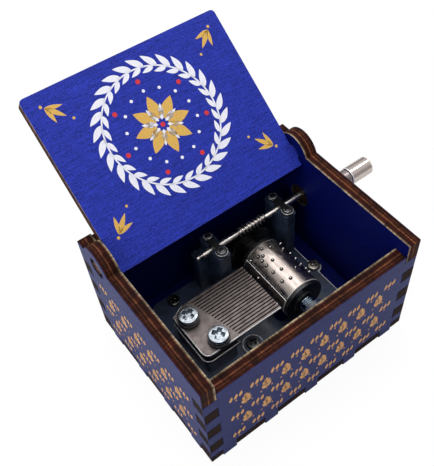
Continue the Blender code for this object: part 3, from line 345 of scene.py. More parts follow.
def burnt_ply(name, outer, inner, grain, outer_code, inner_code, undarkened_box=None, char_and_shade_top=0, bore=None):
    """Laser-cut printed birch plywood. `outer` and `inner` are points on its two faces, and the fibres run
    along `grain`. The ink is satin and faintly fibrous, and the cut edges are dull brown with light and
    dark plies. The last three say where the edges are darkened instead: charred at the fingers' ends, and painted
    shade below the floor and in the crank's hole."""
    finish = bpy.data.materials.new(name)
    finish.use_nodes = True
    tree = finish.node_tree
    shader = tree.nodes["Principled BSDF"]
    place = add(tree, "ShaderNodeTexCoord").outputs["Object"]
    across = Vector(inner) - Vector(outer)
    slope = across / across.length_squared
    along = add(tree, "ShaderNodeVectorMath", {"operation": "DOT_PRODUCT"}, {0: place, 1: slope})
    depth = add(tree, "ShaderNodeMath", {"operation": "SUBTRACT"}, {
        0: along.outputs["Value"], 1: Vector(outer).dot(slope),
    }).outputs[0]
    edge, streaks = ply_edge(tree, place, depth, across)
    if undarkened_box:
        edge = char_and_painted_shade(tree, place, edge, streaks, undarkened_box, char_and_shade_top)
    if bore:
        edge = painted_bore_shade(tree, place, edge, across, bore)

    fibre_size = Vector((FIBRE_WIDTH, FIBRE_WIDTH, FIBRE_WIDTH)) + FIBRE_LENGTH * Vector(grain)
    fibre_place = add(tree, "ShaderNodeMapping", {}, {
        "Vector": place, "Scale": [1 / (size * MM) for size in fibre_size],
    })
    fibre = add(tree, "ShaderNodeTexNoise", {}, {
        "Vector": fibre_place.outputs[0], "Scale": 1, "Detail": 4, "Roughness": 0.6,
    })
    speck = add(tree, "ShaderNodeTexNoise", {}, {
        "Vector": place, "Scale": 1 / (SPECK_SIZE * MM), "Detail": 2,
    })
    relief = add(tree, "ShaderNodeMath", {"operation": "ADD"}, {
        0: fibre.outputs["Fac"], 1: speck.outputs["Fac"],
    })
    ink_level = add(tree, "ShaderNodeMapRange", {}, {
        "Value": relief.outputs[0], "From Min": 0.75, "From Max": 1.25,
        "To Min": INK_LEVELS[0], "To Max": INK_LEVELS[1],
    })
    inks = [
        add(tree, "ShaderNodeVectorMath", {"operation": "SCALE"}, {
            0: srgb(code)[:3], "Scale": ink_level.outputs[0],
        }).outputs[0]
        for code in (outer_code, inner_code)
    ]
    on_outer = add(tree, "ShaderNodeMath", {"operation": "LESS_THAN"}, {0: depth, 1: 0.025})
    on_inner = add(tree, "ShaderNodeMath", {"operation": "GREATER_THAN"}, {0: depth, 1: 0.985})
    outside = add(tree, "ShaderNodeMix", {"data_type": "RGBA"}, {0: on_outer.outputs[0], 6: edge, 7: inks[0]})
    whole = add(tree, "ShaderNodeMix", {"data_type": "RGBA"}, {
        0: on_inner.outputs[0], 6: outside.outputs[2], 7: inks[1],
    })
    on_face = add(tree, "ShaderNodeMath", {"operation": "ADD"}, {
        0: on_outer.outputs[0], 1: on_inner.outputs[0],
    })
    matt = add(tree, "ShaderNodeMapRange", {}, {"Value": on_face.outputs[0], "To Min": 0.8, "To Max": 0.5})
    bump = add(tree, "ShaderNodeBump", {}, {
        "Height": relief.outputs[0], "Strength": 0.25, "Distance": 0.03 * MM,
    })
    tree.links.new(whole.outputs[2], shader.inputs["Base Color"])
    tree.links.new(matt.outputs[0], shader.inputs["Roughness"])
    shader.inputs["Specular IOR Level"].default_value = 0.12
    tree.links.new(bump.outputs[0], shader.inputs["Normal"])
    return finish


ARRIS = 0.12 * MM
END_CHAR = 0.2 * MM
UNDARKENED_CORNER = 5 * MM
OUTER_BLUE = "#242c63"
INNER_BLUE = "#00094e"
ALONG_X = (1, 0, 0)
ALONG_Y = (0, 1, 0)
EVEN = (0, 0, 0)
front_low, front_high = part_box("front_panel")
joints = {joint["name"]: joint for joint in frame["joints"]}
crank_axis = Vector(joints["crank_spin"]["pos_m"])
for node, axis, side, grain in (
    ("front_panel", 1, 0, ALONG_X),
    ("back_panel", 1, 1, ALONG_X),
    ("left_panel", 0, 0, ALONG_Y),
    ("right_panel", 0, 1, ALONG_Y),
    ("floor_panel", 2, 0, ALONG_X),
):
    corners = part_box(node)
    outer = Vector((0, 0, 0))
    inner = Vector((0, 0, 0))
    outer[axis] = corners[side][axis]
    inner[axis] = corners[1 - side][axis]
    # Fingers' ends are charred, and the tabs below the floor and the floor's edges get painted shade, but not the
    # side panels' top corners.
    undarkened_box = [Vector(corner) for corner in corners]
    along = grain.index(1)
    undarkened_box[0][along] += END_CHAR
    undarkened_box[1][along] -= END_CHAR
    undarkened_box[0].z = 0
    undarkened_box[1].z = 0 if node == "floor_panel" else undarkened_box[1].z + 1
    is_side = node in ("left_panel", "right_panel")
    char_and_shade_top = front_high.z - UNDARKENED_CORNER if is_side else corners[1].z
    bore = (0, crank_axis.y, crank_axis.z) if node == "right_panel" else None
    ply = burnt_ply(node + "_ply", outer, inner, grain, OUTER_BLUE, INNER_BLUE, undarkened_box, char_and_shade_top, bore)
    dressed(node, node + "_sheet", [ply], ARRIS)


# Lid. The same plywood, printed royal blue on the face that shows when it stands open. It turns on the two
# tabs of its hinge edge, in the holes of the side panels' ears.
LID_OUTER_BLUE = "#2c3688"
LID_INNER_BLUE = "#2735a0"
hinge = Vector(joints["lid_hinge"]["pos_m"])
open_angle = math.radians(joints["lid_hinge"]["range_deg"][1])
lid_thickness = front_high.y - front_low.y
lid_up = Vector((0, -math.cos(open_angle), math.sin(open_angle)))
lid_face = Vector((1, 0, 0)).cross(lid_up)
shown_point = hinge + lid_face * lid_thickness / 2
hidden_point = hinge - lid_face * lid_thickness / 2
lid_ply = burnt_ply("lid_ply", hidden_point, shown_point, ALONG_X, LID_OUTER_BLUE, LID_INNER_BLUE)
dressed("lid_panel", "lid_sheet", [lid_ply], ARRIS)


# Prints. Flat ink on the wood: generic leaf sprigs and strokes in gold on the walls, and on the lid a wreath
# of white leaves with red berries round a gold flower. The ink lets the wood's grain through.
INK_HEIGHT = 0.02 * MM


def printed_ink(name, code, ground_code, cover):
    """Ink printed on wood: satin and flat, and broken up where the ground shows through. `cover` is how much
    of it holds, as a level of the noise."""
    finish = bpy.data.materials.new(name)
    finish.use_nodes = True
    tree = finish.node_tree
    shader = tree.nodes["Principled BSDF"]
    place = add(tree, "ShaderNodeTexCoord").outputs["Object"]
    speck = add(tree, "ShaderNodeTexNoise", {}, {
        "Vector": place, "Scale": 1 / (0.3 * MM), "Detail": 3, "Roughness": 0.7,
    })
    holes = add(tree, "ShaderNodeMapRange", {}, {
        "Value": speck.outputs["Fac"], "From Min": cover - 0.1, "From Max": cover + 0.1,
    })
    mixed = add(tree, "ShaderNodeMix", {"data_type": "RGBA"}, {
        0: holes.outputs[0], 6: srgb(code), 7: srgb(ground_code),
    })
    tree.links.new(mixed.outputs[2], shader.inputs["Base Color"])
    shader.inputs["Roughness"].default_value = 0.5
    shader.inputs["Specular IOR Level"].default_value = 0.22
    return finish


gold_ink = printed_ink("gold_ink", "#e2a866", "#5a4a58", 0.6)
pale_gold_ink = printed_ink("pale_gold_ink", "#e0b358", "#a98a66", 0.62)
white_ink = printed_ink("white_ink", "#f0f0fa", "#b4b8e6", 0.66)
red_ink = printed_ink("red_ink", "#d3343a", "#a0304a", 0.66)


def stamp_tree():
    """Stamps a motif on every point, turned by the point's own `turn`, and gives all of it one ink."""
    tree = bpy.data.node_groups.new("stamp_motif", "GeometryNodeTree")
    sockets = tree.interface
    sockets.new_socket("Geometry", in_out="INPUT", socket_type="NodeSocketGeometry")
    sockets.new_socket("Motif", in_out="INPUT", socket_type="NodeSocketObject")
    sockets.new_socket("Size", in_out="INPUT", socket_type="NodeSocketFloat")
    sockets.new_socket("Finish", in_out="INPUT", socket_type="NodeSocketMaterial")
    sockets.new_socket("Geometry", in_out="OUTPUT", socket_type="NodeSocketGeometry")
    given = add(tree, "NodeGroupInput").outputs
    turn = add(tree, "GeometryNodeInputNamedAttribute", {"data_type": "FLOAT_VECTOR"}, {"Name": "turn"})
    rotation = add(tree, "FunctionNodeEulerToRotation", {}, {"Euler": turn.outputs["Attribute"]})
    motif = add(tree, "GeometryNodeObjectInfo", {"transform_space": "ORIGINAL"}, {"Object": given["Motif"]})
    stamped = add(tree, "GeometryNodeInstanceOnPoints", {}, {
        "Points": given["Geometry"], "Instance": motif.outputs["Geometry"],
        "Rotation": rotation.outputs[0], "Scale": given["Size"],
    })
    real = add(tree, "GeometryNodeRealizeInstances", {}, {"Geometry": stamped.outputs[0]})
    inked = add(tree, "GeometryNodeSetMaterial", {}, {
        "Geometry": real.outputs[0], "Material": given["Finish"],
    })
    add(tree, "NodeGroupOutput", {}, {"Geometry": inked.outputs[0]})
    return tree


stamps = stamp_tree()


def stamped(name, motif_mesh, places, size, finish, body):
    """One piece of many stamped motifs. A place is a matrix in the frame."""
    points = bpy.data.meshes.new(name + "_points")
    points.from_pydata([place.translation for place in places], [], [])
    turns = points.attributes.new("turn", "FLOAT_VECTOR", "POINT")
    for value, place in zip(turns.data, places):
        value.vector = place.to_euler()
    motif = show(name + "_motif", motif_mesh)
    source = show(name + "_source", points)
    modifier = source.modifiers.new("stamp", "NODES")
    modifier.node_group = stamps
    values = {"Motif": motif, "Size": size, "Finish": finish}
    for item in stamps.interface.items_tree:
        if item.in_out == "INPUT" and item.name in values:
            modifier[item.identifier] = values[item.name]
    evaluated = source.evaluated_get(bpy.context.evaluated_depsgraph_get())
    mesh = bpy.data.meshes.new_from_object(evaluated)
    bpy.data.objects.remove(source)
    bpy.data.objects.remove(motif)
    mesh.name = name
    piece = show(name, mesh)
    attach(piece, body)
    return piece


def leaf(foot, length, width, heading, bend=0.0, steps=9):
    """A pointed leaf's outline: it starts at its foot, heads off at an angle in degrees and bends aside."""
    left = []
    right = []
    for step in range(steps + 1):
        share = step / steps
        half = width / 2 * math.sin(math.pi * share**0.8) ** 0.9 if 0 < share < 1 else 0
        middle = bend * length * share**2
        left.append((length * share, middle + half))
        right.append((length * share, middle - half))
    outline = right + left[-2:0:-1]
    turn = Matrix.Rotation(math.radians(heading), 2)
    return [Vector(foot) + turn @ Vector(point) for point in outline]


def dot(center, radius, steps=14):
    """A round dot's outline."""
    angles = [math.tau * step / steps for step in range(steps)]
    return [Vector(center) + radius * Vector((math.cos(a), math.sin(a))) for a in angles]


def flat_shapes(name, outlines):
    """Flat shapes in the XY plane, all facing up, as one mesh. Sizes are in millimetres."""
    edit = bmesh.new()
    for outline in outlines:
        edit.faces.new([edit.verts.new((x * MM, y * MM, 0)) for x, y in outline])
    bmesh.ops.triangulate(edit, faces=edit.faces)
    mesh = bpy.data.meshes.new(name)
    edit.to_mesh(mesh)
    edit.free()
    return mesh


def sprig():
    """A small stem with five leaves and two berries."""
    shapes = [leaf((0, -1.9), 4.3, 0.22, 90, 0.06)]
    for height, length, spread in ((-0.9, 1.7, 52), (0.3, 1.5, 46)):
        shapes.append(leaf((0, height), length, 0.95, 90 + spread, -0.25))
        shapes.append(leaf((0, height), length, 0.95, 90 - spread, 0.25))
    shapes.append(leaf((0, 1.0), 1.5, 1.0, 90))
    shapes += [dot((-1.25, -1.35), 0.22), dot((1.25, -1.35), 0.22)]
    return flat_shapes("sprig", shapes)


def lozenges():
    """Three short strokes over a dot, as a filler between sprigs."""
    shapes = [leaf((offset, -0.9), 1.8, 0.75, 78) for offset in (-1.05, 0.0, 1.05)]
    shapes.append(dot((0.15, -1.5), 0.22))
    return flat_shapes("lozenges", shapes)


def wall_frame(origin, right, up):
    """A matrix whose X runs right along a wall, Y up it and Z out of it."""
    right = Vector(right)
    up = Vector(up)
    return Matrix.Translation(origin) @ Matrix((right, up, right.cross(up))).transposed().to_4x4()


ROW_PITCH = 4.9 * MM
COLUMN_PITCH = 5.9 * MM
SIDE_MARGIN = 7.6 * MM
BOTTOM_MARGIN = 6.0 * MM
TOP_MARGIN = 4.2 * MM
SPRIG_SCALE = 1.3
CRANK_MARGIN = 6 * MM


def printed_wall(node, right, outward):
    """Covers a wall's outer face with rows of sprigs and strokes by turns, clear of its edges and holes."""
    low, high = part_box(node)
    right = Vector(right)
    middle = (low + high) / 2
    half = abs((high - low).dot(right)) / 2
    top = high.z if node == "back_panel" else front_high.z
    out = Vector(outward)
    face = Vector([high[i] if out[i] > 0 else low[i] if out[i] < 0 else middle[i] for i in range(3)])
    places = {"sprig": [], "lozenges": []}
    rows = int((top - TOP_MARGIN - BOTTOM_MARGIN) / ROW_PITCH) + 1
    columns = int((2 * half - 2 * SIDE_MARGIN) / COLUMN_PITCH) + 1
    for row in range(rows):
        kind = "sprig" if row % 2 else "lozenges"
        offset = 0.5 * COLUMN_PITCH if row % 2 else 0
        for column in range(columns - row % 2):
            sideways = (column - (columns - 1) / 2) * COLUMN_PITCH + offset
            point = face + right * sideways + out * INK_HEIGHT
            point.z = BOTTOM_MARGIN + row * ROW_PITCH
            if node == "right_panel" and (point.yz - crank_axis.yz).length < CRANK_MARGIN:
                continue
            places[kind].append(wall_frame(point, right, (0, 0, 1)))
    for kind, motif in (("sprig", sprig()), ("lozenges", lozenges())):
        piece = stamped(f"{node}_{kind}_print", motif, places[kind], SPRIG_SCALE, gold_ink, "case")


printed_wall("front_panel", (1, 0, 0), (0, -1, 0))
printed_wall("right_panel", (0, 1, 0), (1, 0, 0))
printed_wall("back_panel", (-1, 0, 0), (0, 1, 0))
printed_wall("left_panel", (0, -1, 0), (-1, 0, 0))

WREATH_HEIGHT = 22.3
STEM_RADII = (15.3, 14.9)
STEM_STEPS = 96
lid_print = wall_frame(shown_point + lid_face * INK_HEIGHT, (1, 0, 0), lid_up)
wreath_middle = Matrix.Translation((0, WREATH_HEIGHT * MM, 0))


def ring_places(count, radius, tilt, start=0.0):
    """Places round the wreath's middle, each turned `tilt` degrees from facing outwards."""
    places = []
    for index in range(count):
        angle = math.tau * index / count + math.radians(start)
        spoke = Matrix.Rotation(angle, 4, "Z") @ Matrix.Translation((radius * MM, 0, 0))
        places.append(lid_print @ wreath_middle @ spoke @ Matrix.Rotation(math.radians(tilt), 4, "Z"))
    return places


wreath_leaf = flat_shapes("wreath_leaf", [leaf((0, 0), 4.8, 1.7, 0, 0.12)])
small_leaf = flat_shapes("small_leaf", [leaf((0, 0), 3.4, 1.25, 0, -0.12)])
berry = flat_shapes("berry", [dot((0, 0), 0.62, 20)])
petal = flat_shapes("petal", [leaf((0, 0), 6.2, 3.0, 0)])
short_petal = flat_shapes("short_petal", [leaf((0, 0), 4.2, 1.5, 0)])
bead = flat_shapes("bead", [dot((0, 0), 0.42, 16)])
edit = bmesh.new()
outer_loop, inner_loop = [
    [edit.verts.new((x * MM, y * MM, 0)) for x, y in dot((0, 0), radius, STEM_STEPS)] for radius in STEM_RADII
]
for index in range(STEM_STEPS):
    after = (index + 1) % STEM_STEPS
    edit.faces.new((inner_loop[index], outer_loop[index], outer_loop[after], inner_loop[after]))
stem = bpy.data.meshes.new("wreath_stem")
edit.to_mesh(stem)
edit.free()

for name, motif, places, ink in (
    ("wreath_stem", stem, [lid_print @ wreath_middle], white_ink),
    ("wreath_outer_leaves", wreath_leaf, ring_places(28, 15.1, 55), white_ink),
    ("wreath_inner_leaves", small_leaf, ring_places(28, 15.0, 128, 4), white_ink),
    ("wreath_berries", berry, ring_places(7, 12.0, 0, 39), red_ink),
    ("wreath_beads", bead, ring_places(14, 9.4, 0, 13), white_ink),
    ("flower_petals", petal, ring_places(8, 1.6, 0), pale_gold_ink),
    ("flower_inner_petals", short_petal, ring_places(8, 1.2, 0, 22.5), white_ink),
    ("flower_eye", berry, [lid_print @ wreath_middle @ Matrix.Scale(1.9, 4)], red_ink),
):
    stamped(name, motif, places, 1.0, ink, "lid")

corner_fan = flat_shapes("corner_fan", [
    leaf((0, 0), 5.4, 1.3, 45), leaf((0, 0), 4.4, 1.1, 18, -0.1), leaf((0, 0), 4.4, 1.1, 72, 0.1),
    dot((5.0, 5.0), 0.35), dot((-0.6, -0.6), 0.4),
])
FAN_MARGIN = 4.6 * MM
FAN_LOW = 4.2 * MM
FAN_HIGH = 38.4 * MM
lid_low, lid_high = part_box("lid_panel")
fan_x = (lid_high.x - lid_low.x) / 2 - lid_thickness - FAN_MARGIN
corner_places = []
for x, y, turn in (
    (-fan_x, FAN_LOW, 0), (fan_x, FAN_LOW, 90), (fan_x, FAN_HIGH, 180), (-fan_x, FAN_HIGH, 270),
):
    at = Matrix.Translation((x, y, 0))
    corner_places.append(lid_print @ at @ Matrix.Rotation(math.radians(turn), 4, "Z"))
stamped("corner_fans", corner_fan, corner_places, 1.0, pale_gold_ink, "lid")


# Bedplate and straps. A zinc casting, and two stamped straps that hold the shaft down in its posts. All are
# blackened and lightly oiled, so flats look dark blue grey, and the worn edges carry a thin pale line that is a
# painted highlight.
CLOUD_SIZE = 3


def blackened(name, code, rough, grit, gloss=0.5):
    """A near-black skin in soft darker and lighter clouds, with a fine grain of `grit` millimetres. The
    lighter it is, the smoother, as where oil lies on it."""
    finish = bpy.data.materials.new(name)
    finish.use_nodes = True
    tree = finish.node_tree
    shader = tree.nodes["Principled BSDF"]
    place = add(tree, "ShaderNodeTexCoord").outputs["Object"]
    grain = add(tree, "ShaderNodeTexNoise", {}, {"Vector": place, "Scale": 1 / (grit * MM), "Detail": 4})
    cloud = add(tree, "ShaderNodeTexNoise", {}, {
        "Vector": place, "Scale": 1 / (CLOUD_SIZE * MM), "Detail": 5,
    })
    level = add(tree, "ShaderNodeMapRange", {}, {
        "Value": cloud.outputs["Fac"], "From Min": 0.35, "From Max": 0.7, "To Min": 0.6, "To Max": 1.9,
    })
    colour = add(tree, "ShaderNodeVectorMath", {"operation": "SCALE"}, {
        0: srgb(code)[:3], "Scale": level.outputs[0],
    })
    matt = add(tree, "ShaderNodeMapRange", {}, {
        "Value": cloud.outputs["Fac"], "From Min": 0.3, "From Max": 0.7,
        "To Min": rough + 0.08, "To Max": rough - 0.08,
    })
    bump = add(tree, "ShaderNodeBump", {}, {
        "Height": grain.outputs["Fac"], "Strength": 0.35, "Distance": 0.03 * MM,
    })
    tree.links.new(colour.outputs[0], shader.inputs["Base Color"])
    tree.links.new(matt.outputs[0], shader.inputs["Roughness"])
    shader.inputs["Specular IOR Level"].default_value = gloss
    tree.links.new(bump.outputs[0], shader.inputs["Normal"])
    return finish


MARK_LENGTH = 3
TARNISH_SIZE = 1.6


def bright_metal(name, code, rough, lay, lay_size, wear, bare=1):
    """Metal with fine marks along `lay`, `lay_size` millimetres apart and darker by the share `wear`, or even
    ones where `lay` is zero. `bare` is 1 for a clean bright surface, and less for a partly matt one, as rubbing
    and air leave; here it lets the pale edge lines, which paint a highlight, show pale from every side.
    The marks are coarser than real ones, so that they show."""
    finish = bpy.data.materials.new(name)
    finish.use_nodes = True
    tree = finish.node_tree
    shader = tree.nodes["Principled BSDF"]
    shader.inputs["Metallic"].default_value = bare
    place = add(tree, "ShaderNodeTexCoord").outputs["Object"]
    mark_size = Vector((lay_size, lay_size, lay_size)) + MARK_LENGTH * Vector(lay)
    mark_place = add(tree, "ShaderNodeMapping", {}, {
        "Vector": place, "Scale": [1 / (size * MM) for size in mark_size],
    })
    marks = add(tree, "ShaderNodeTexNoise", {}, {"Vector": mark_place.outputs[0], "Scale": 1, "Detail": 3})
    cloud = add(tree, "ShaderNodeTexNoise", {}, {
        "Vector": place, "Scale": 1 / (TARNISH_SIZE * MM), "Detail": 5,
    })
    level = add(tree, "ShaderNodeMapRange", {}, {
        "Value": marks.outputs["Fac"], "From Min": 0.3, "From Max": 0.7,
        "To Min": 1 - wear, "To Max": 1 + 0.5 * wear,
    })
    colour = add(tree, "ShaderNodeVectorMath", {"operation": "SCALE"}, {
        0: srgb(code)[:3], "Scale": level.outputs[0],
    })
    matt = add(tree, "ShaderNodeMapRange", {}, {
        "Value": cloud.outputs["Fac"], "From Min": 0.3, "From Max": 0.7,
        "To Min": 0.7 * rough, "To Max": 1.35 * rough,
    })
    bump = add(tree, "ShaderNodeBump", {}, {
        "Height": marks.outputs["Fac"], "Strength": 0.15, "Distance": 0.01 * MM,
    })
    tree.links.new(colour.outputs[0], shader.inputs["Base Color"])
    tree.links.new(matt.outputs[0], shader.inputs["Roughness"])
    tree.links.new(bump.outputs[0], shader.inputs["Normal"])
    return finish


# The casting is dark blue grey and cloudy. The steel is blacker and tighter, with more shine. The worn
# corners are painted a thin near-white line, a painted highlight where the black has also worn off.
casting = blackened("blackened_zinc_casting", "#2a3549", 0.34, 0.3, 0.8)
rolled = blackened("blackened_steel", "#17181b", 0.35, 0.12, 0.9)
# Worn edges: near white and mostly matt, a painted highlight along the rounded corners.
worn_edge_highlight = bright_metal("worn_edge_painted_highlight", "#f4f5f8", 0.5, EVEN, 0.4, 0.5, 0.25)
BED_EDGE = 0.4 * MM
STRAP_EDGE = 0.1 * MM
RIVET_EDGE = 0.08 * MM
BED_LEVEL = 8 * MM
HIDDEN_REAR = 17.5 * MM


def top_arris(rim):
    """1 for a convex corner between a face that looks up and an upright one, and 0 for any other or a hole's
    rim, whose upright faces meet at hollow corners."""
    if len(rim.link_faces) != 2 or not rim.is_convex:
        return 0
    upright, level = sorted(rim.link_faces, key=lambda face: abs(face.normal.z))
    if level.normal.z < 0.95 or abs(upright.normal.z) > 0.3:
        return 0
    ends = [side for side in upright.edges if abs((side.verts[0].co - side.verts[1].co).normalized().z) > 0.9]
    return 1 if any(side.is_convex for side in ends) else 0


def bed_arris(rim):
    """The bed's and the boss's outlines get the worn edge's painted highlight, and the posts' tops and the hidden
    rear rim do not.
    """
    is_seen = max(end.co.y for end in rim.verts) < HIDDEN_REAR
    return top_arris(rim) if is_seen and rim.verts[0].co.z < BED_LEVEL else 0


dressed("bedplate", "bedplate_casting", [casting, worn_edge_highlight], BED_EDGE, 40, bed_arris)
for side in ("left", "right"):
    dressed(f"bearing_strap_{side}", f"{side}_strap", [rolled, worn_edge_highlight], STRAP_EDGE, 40, top_arris)
    for end in ("front", "rear"):
        dressed(f"strap_rivet_{side}_{end}", f"{side}_{end}_rivet", [rolled, worn_edge_highlight], RIVET_EDGE, 50)


# Comb. One plate of hardened steel, ground along its teeth, on a die-cast base, held by two zinc-plated
# pan-head screws over blackened washers. Its cut edges are pale, with a painted highlight.
# Ground spring steel is brown grey, with fine lines along the teeth. Round it, the fresh cut is a pale line that
# is a painted highlight. The die casting under it is a duller, darker grey.
ground_steel = bright_metal("ground_comb_steel", "#6a6260", 0.42, ALONG_X, 0.12, 0.3)
# Cut edges: pale and partly matt, a painted highlight over the bright cut.
cut_edge_highlight = bright_metal("cut_edge_painted_highlight", "#f4f0ec", 0.45, ALONG_X, 0.3, 0.1, 0.4)
zinc_base = bright_metal("die_cast_comb_base", "#4c4a4a", 0.4, ALONG_Y, 0.3, 0.2)
comb_low, comb_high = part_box("comb")
ROOT_WIDTH = 3.5 * MM
COMB_EDGE = 0.28 * MM
BASE_EDGE = 0.2 * MM


def comb_arris(rim):
    """The plate's outline is rounded, and the slits between the teeth are left sharp."""
    middle = (rim.verts[0].co + rim.verts[1].co) / 2
    outline = middle.x < comb_low.x + ROOT_WIDTH or middle.y < comb_low.y + ARRIS
    return top_arris(rim) if outline else 0


dressed("comb", "comb_plate", [ground_steel, cut_edge_highlight], COMB_EDGE, 40, comb_arris)
dressed("comb_base", "comb_bar", [zinc_base, cut_edge_highlight], BASE_EDGE, 40, top_arris)


# Screws. Zinc-plated pan heads with a wide cross recess hold the comb, and smaller ones hold the bedplate
# down; two of those are blackened. Plain washers lie under the comb's screws.
# Bright zinc plate is cold silver, with a paler rim that is a painted highlight. The right screw's plate has
# yellowed in blotches, and the rear left one's is nearly black.
zinc_plate = bright_metal("bright_zinc_plate", "#a4abb2", 0.3, EVEN, 0.5, 0.25)
# The screws' rims: a paler copy of the plate, a painted highlight.
zinc_rim_highlight = bright_metal("zinc_rim_painted_highlight", "#f2f5f8", 0.35, EVEN, 0.5, 0.1)
stained_zinc = bright_metal("stained_zinc_plate", "#a89e94", 0.3, EVEN, 0.5, 0.5)
dark_plate = bright_metal("dark_plated_steel", "#5a544e", 0.25, EVEN, 0.5, 0.5)
HEAD_EDGE = 0.09 * MM
WASHER_EDGE = 0.14 * MM
COMB_RECESS = 1.3
MOUNTING_RECESS = 0.8
HEAD_SIDES = 48


def turned_mesh(name, profile, sides):
    """A profile of (radius, height) in millimetres turned about Z, closed at both ends."""
    edit = bmesh.new()
    rings = []
    for radius, height in profile:
        spokes = [Matrix.Rotation(math.tau * side / sides, 3, "Z") for side in range(sides)]
        rings.append([edit.verts.new(spoke @ Vector((radius * MM, 0, height * MM))) for spoke in spokes])
    for lower, upper in zip(rings, rings[1:]):
        for side in range(sides):
            after = (side + 1) % sides
            edit.faces.new((lower[side], lower[after], upper[after], upper[side]))
    edit.faces.new(rings[0])
    edit.faces.new(rings[-1])
    bmesh.ops.recalc_face_normals(edit, faces=edit.faces)
    mesh = bpy.data.meshes.new(name)
    edit.to_mesh(mesh)
    edit.free()
    mesh.shade_smooth()
    mesh.set_sharp_from_angle(angle=math.radians(50))
    return mesh


def tapered_bars(name, top, bottom, turns):
    """Bars across Z, one for each turn in degrees, wider at the top. A level is (height, width, length)."""
    edit = bmesh.new()
    for turn in turns:
        spin = Matrix.Rotation(math.radians(turn), 4, "Z")
        levels = []
        for height, width, length in (top, bottom):
            corners = [(x * length / 2, y * width / 2) for x, y in ((-1, -1), (1, -1), (1, 1), (-1, 1))]
            levels.append([edit.verts.new(spin @ Vector((x * MM, y * MM, height * MM))) for x, y in corners])
        edit.faces.new(levels[0])
        edit.faces.new(levels[1])
        for index in range(4):
            after = (index + 1) % 4
            edit.faces.new((levels[0][index], levels[1][index], levels[1][after], levels[0][after]))
    bmesh.ops.recalc_face_normals(edit, faces=edit.faces)
    mesh = bpy.data.meshes.new(name)
    edit.to_mesh(mesh)
    edit.free()
    return mesh


def cut_out(mesh, cutter):
    """The mesh with the cutter's shape taken out of it."""
    body = show("body_to_cut", mesh)
    tool = show("cutter", cutter)
    cut = body.modifiers.new("cut", "BOOLEAN")
    cut.operation = "DIFFERENCE"
    cut.solver = "EXACT"
    cut.use_self = True
    cut.object = tool
    evaluated = body.evaluated_get(bpy.context.evaluated_depsgraph_get())
    finished = bpy.data.meshes.new_from_object(evaluated)
    bpy.data.objects.remove(body)
    bpy.data.objects.remove(tool)
    return finished


def pan_head(node, name, finishes, recess_width, turn):
    """A screw in the place and size of its frame node, with a tapered cross recess in its head. Its profile
    runs from the tip up the shank, out under the head and over the flat crown."""
    low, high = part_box(node)
    head = (high.x - low.x) / 2 / MM
    length = (high.z - low.z) / MM
    crown = 0.5 * head
    profile = [(0.46 * head, -length), (0.46 * head, -crown), (0.97 * head, -crown), (head, -0.8 * crown)]
    profile += [(head, -0.42 * crown), (0.93 * head, -0.2 * crown), (0.75 * head, -0.08 * crown)]
    profile += [(0.4 * head, -0.02 * crown), (0.1 * head, 0)]
    screw = turned_mesh(name, profile, HEAD_SIDES)
    top = (0.2, 1.15 * recess_width, 1.45 * head)
    bottom = (-0.85 * crown, 0.5 * recess_width, 0.7 * head)
    screw = cut_out(screw, tapered_bars(name + "_cross", top, bottom, (turn, turn + 90)))
    screw.transform(Matrix.Translation(((low.x + high.x) / 2, (low.y + high.y) / 2, high.z)))
    settle(eased(name, screw, finishes, HEAD_EDGE, 32), node)


for end, turn in (("rear", 22), ("front", 38)):
    dressed(f"comb_washer_{end}", f"{end}_washer", [rolled], WASHER_EDGE)
    pan_head(f"comb_screw_{end}", f"{end}_comb_screw", [zinc_plate, zinc_rim_highlight], COMB_RECESS, turn)
for place, finishes, turn in (
    ("right", [stained_zinc, zinc_rim_highlight], 10),
    ("front", [rolled], 22),
    ("rear_left", [dark_plate, zinc_rim_highlight], 38),
):
    pan_head(f"mounting_screw_{place}", f"{place}_mounting_screw", finishes, MOUNTING_RECESS, turn)


# Drum sleeve. Nickel-plated sheet rolled round the core, with rounded lips at the open seam that lies
# towards the comb. It is a warm silver with a broad highlight and faint lines along the drum.
SLEEVE_WALL = 0.3 * MM
SLEEVE_EDGE = 0.14 * MM
SLEEVE_STEPS = 144
SEAM_ANGLE = 146
SEAM_HALF = 2.2
core_low, core_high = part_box("drum_core")
sleeve_low, sleeve_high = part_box("pinned_sleeve")
drum_axis = Vector(joints["drum_spin"]["pos_m"])
sleeve_radius = (core_high.z - core_low.z) / 2
nickel = bright_metal("bright_nickel_sheet", "#b3a8a2", 0.27, ALONG_Y, 0.5, 0.3)


def around_drum(radius, degrees, y):
    """The point at an angle about the drum's axis, counted from +X towards +Z."""
    angle = math.radians(degrees)
    return Vector((drum_axis.x + radius * math.cos(angle), y, drum_axis.z + radius * math.sin(angle)))


edit = bmesh.new()
sweep = 360 - 2 * SEAM_HALF
section = []
for step in range(SLEEVE_STEPS + 1):
    section.append((sleeve_radius, SEAM_ANGLE + SEAM_HALF + sweep * step / SLEEVE_STEPS))
for step in range(SLEEVE_STEPS + 1):
    section.append((sleeve_radius - SLEEVE_WALL, SEAM_ANGLE - SEAM_HALF - sweep * step / SLEEVE_STEPS))
front_ring = [edit.verts.new(around_drum(radius, degrees, sleeve_low.y)) for radius, degrees in section]
rear_ring = [edit.verts.new(around_drum(radius, degrees, sleeve_high.y)) for radius, degrees in section]
count = len(section)
for index in range(count):
    after = (index + 1) % count
    edit.faces.new((front_ring[index], front_ring[after], rear_ring[after], rear_ring[index]))
for index in range(SLEEVE_STEPS):
    facing = count - 1 - index
    rim = (index + 1, index, facing, facing - 1)
    edit.faces.new([front_ring[place] for place in rim])
    edit.faces.new([rear_ring[place] for place in reversed(rim)])
bmesh.ops.recalc_face_normals(edit, faces=edit.faces)
sleeve_mesh = bpy.data.meshes.new("rolled_sleeve")
edit.to_mesh(sleeve_mesh)
edit.free()
# The seam's lips and the sleeve's ends take the cut-edge finish, a painted highlight along them.
settle(eased("rolled_sleeve", sleeve_mesh, [nickel, cut_edge_highlight], SLEEVE_EDGE), "pinned_sleeve")
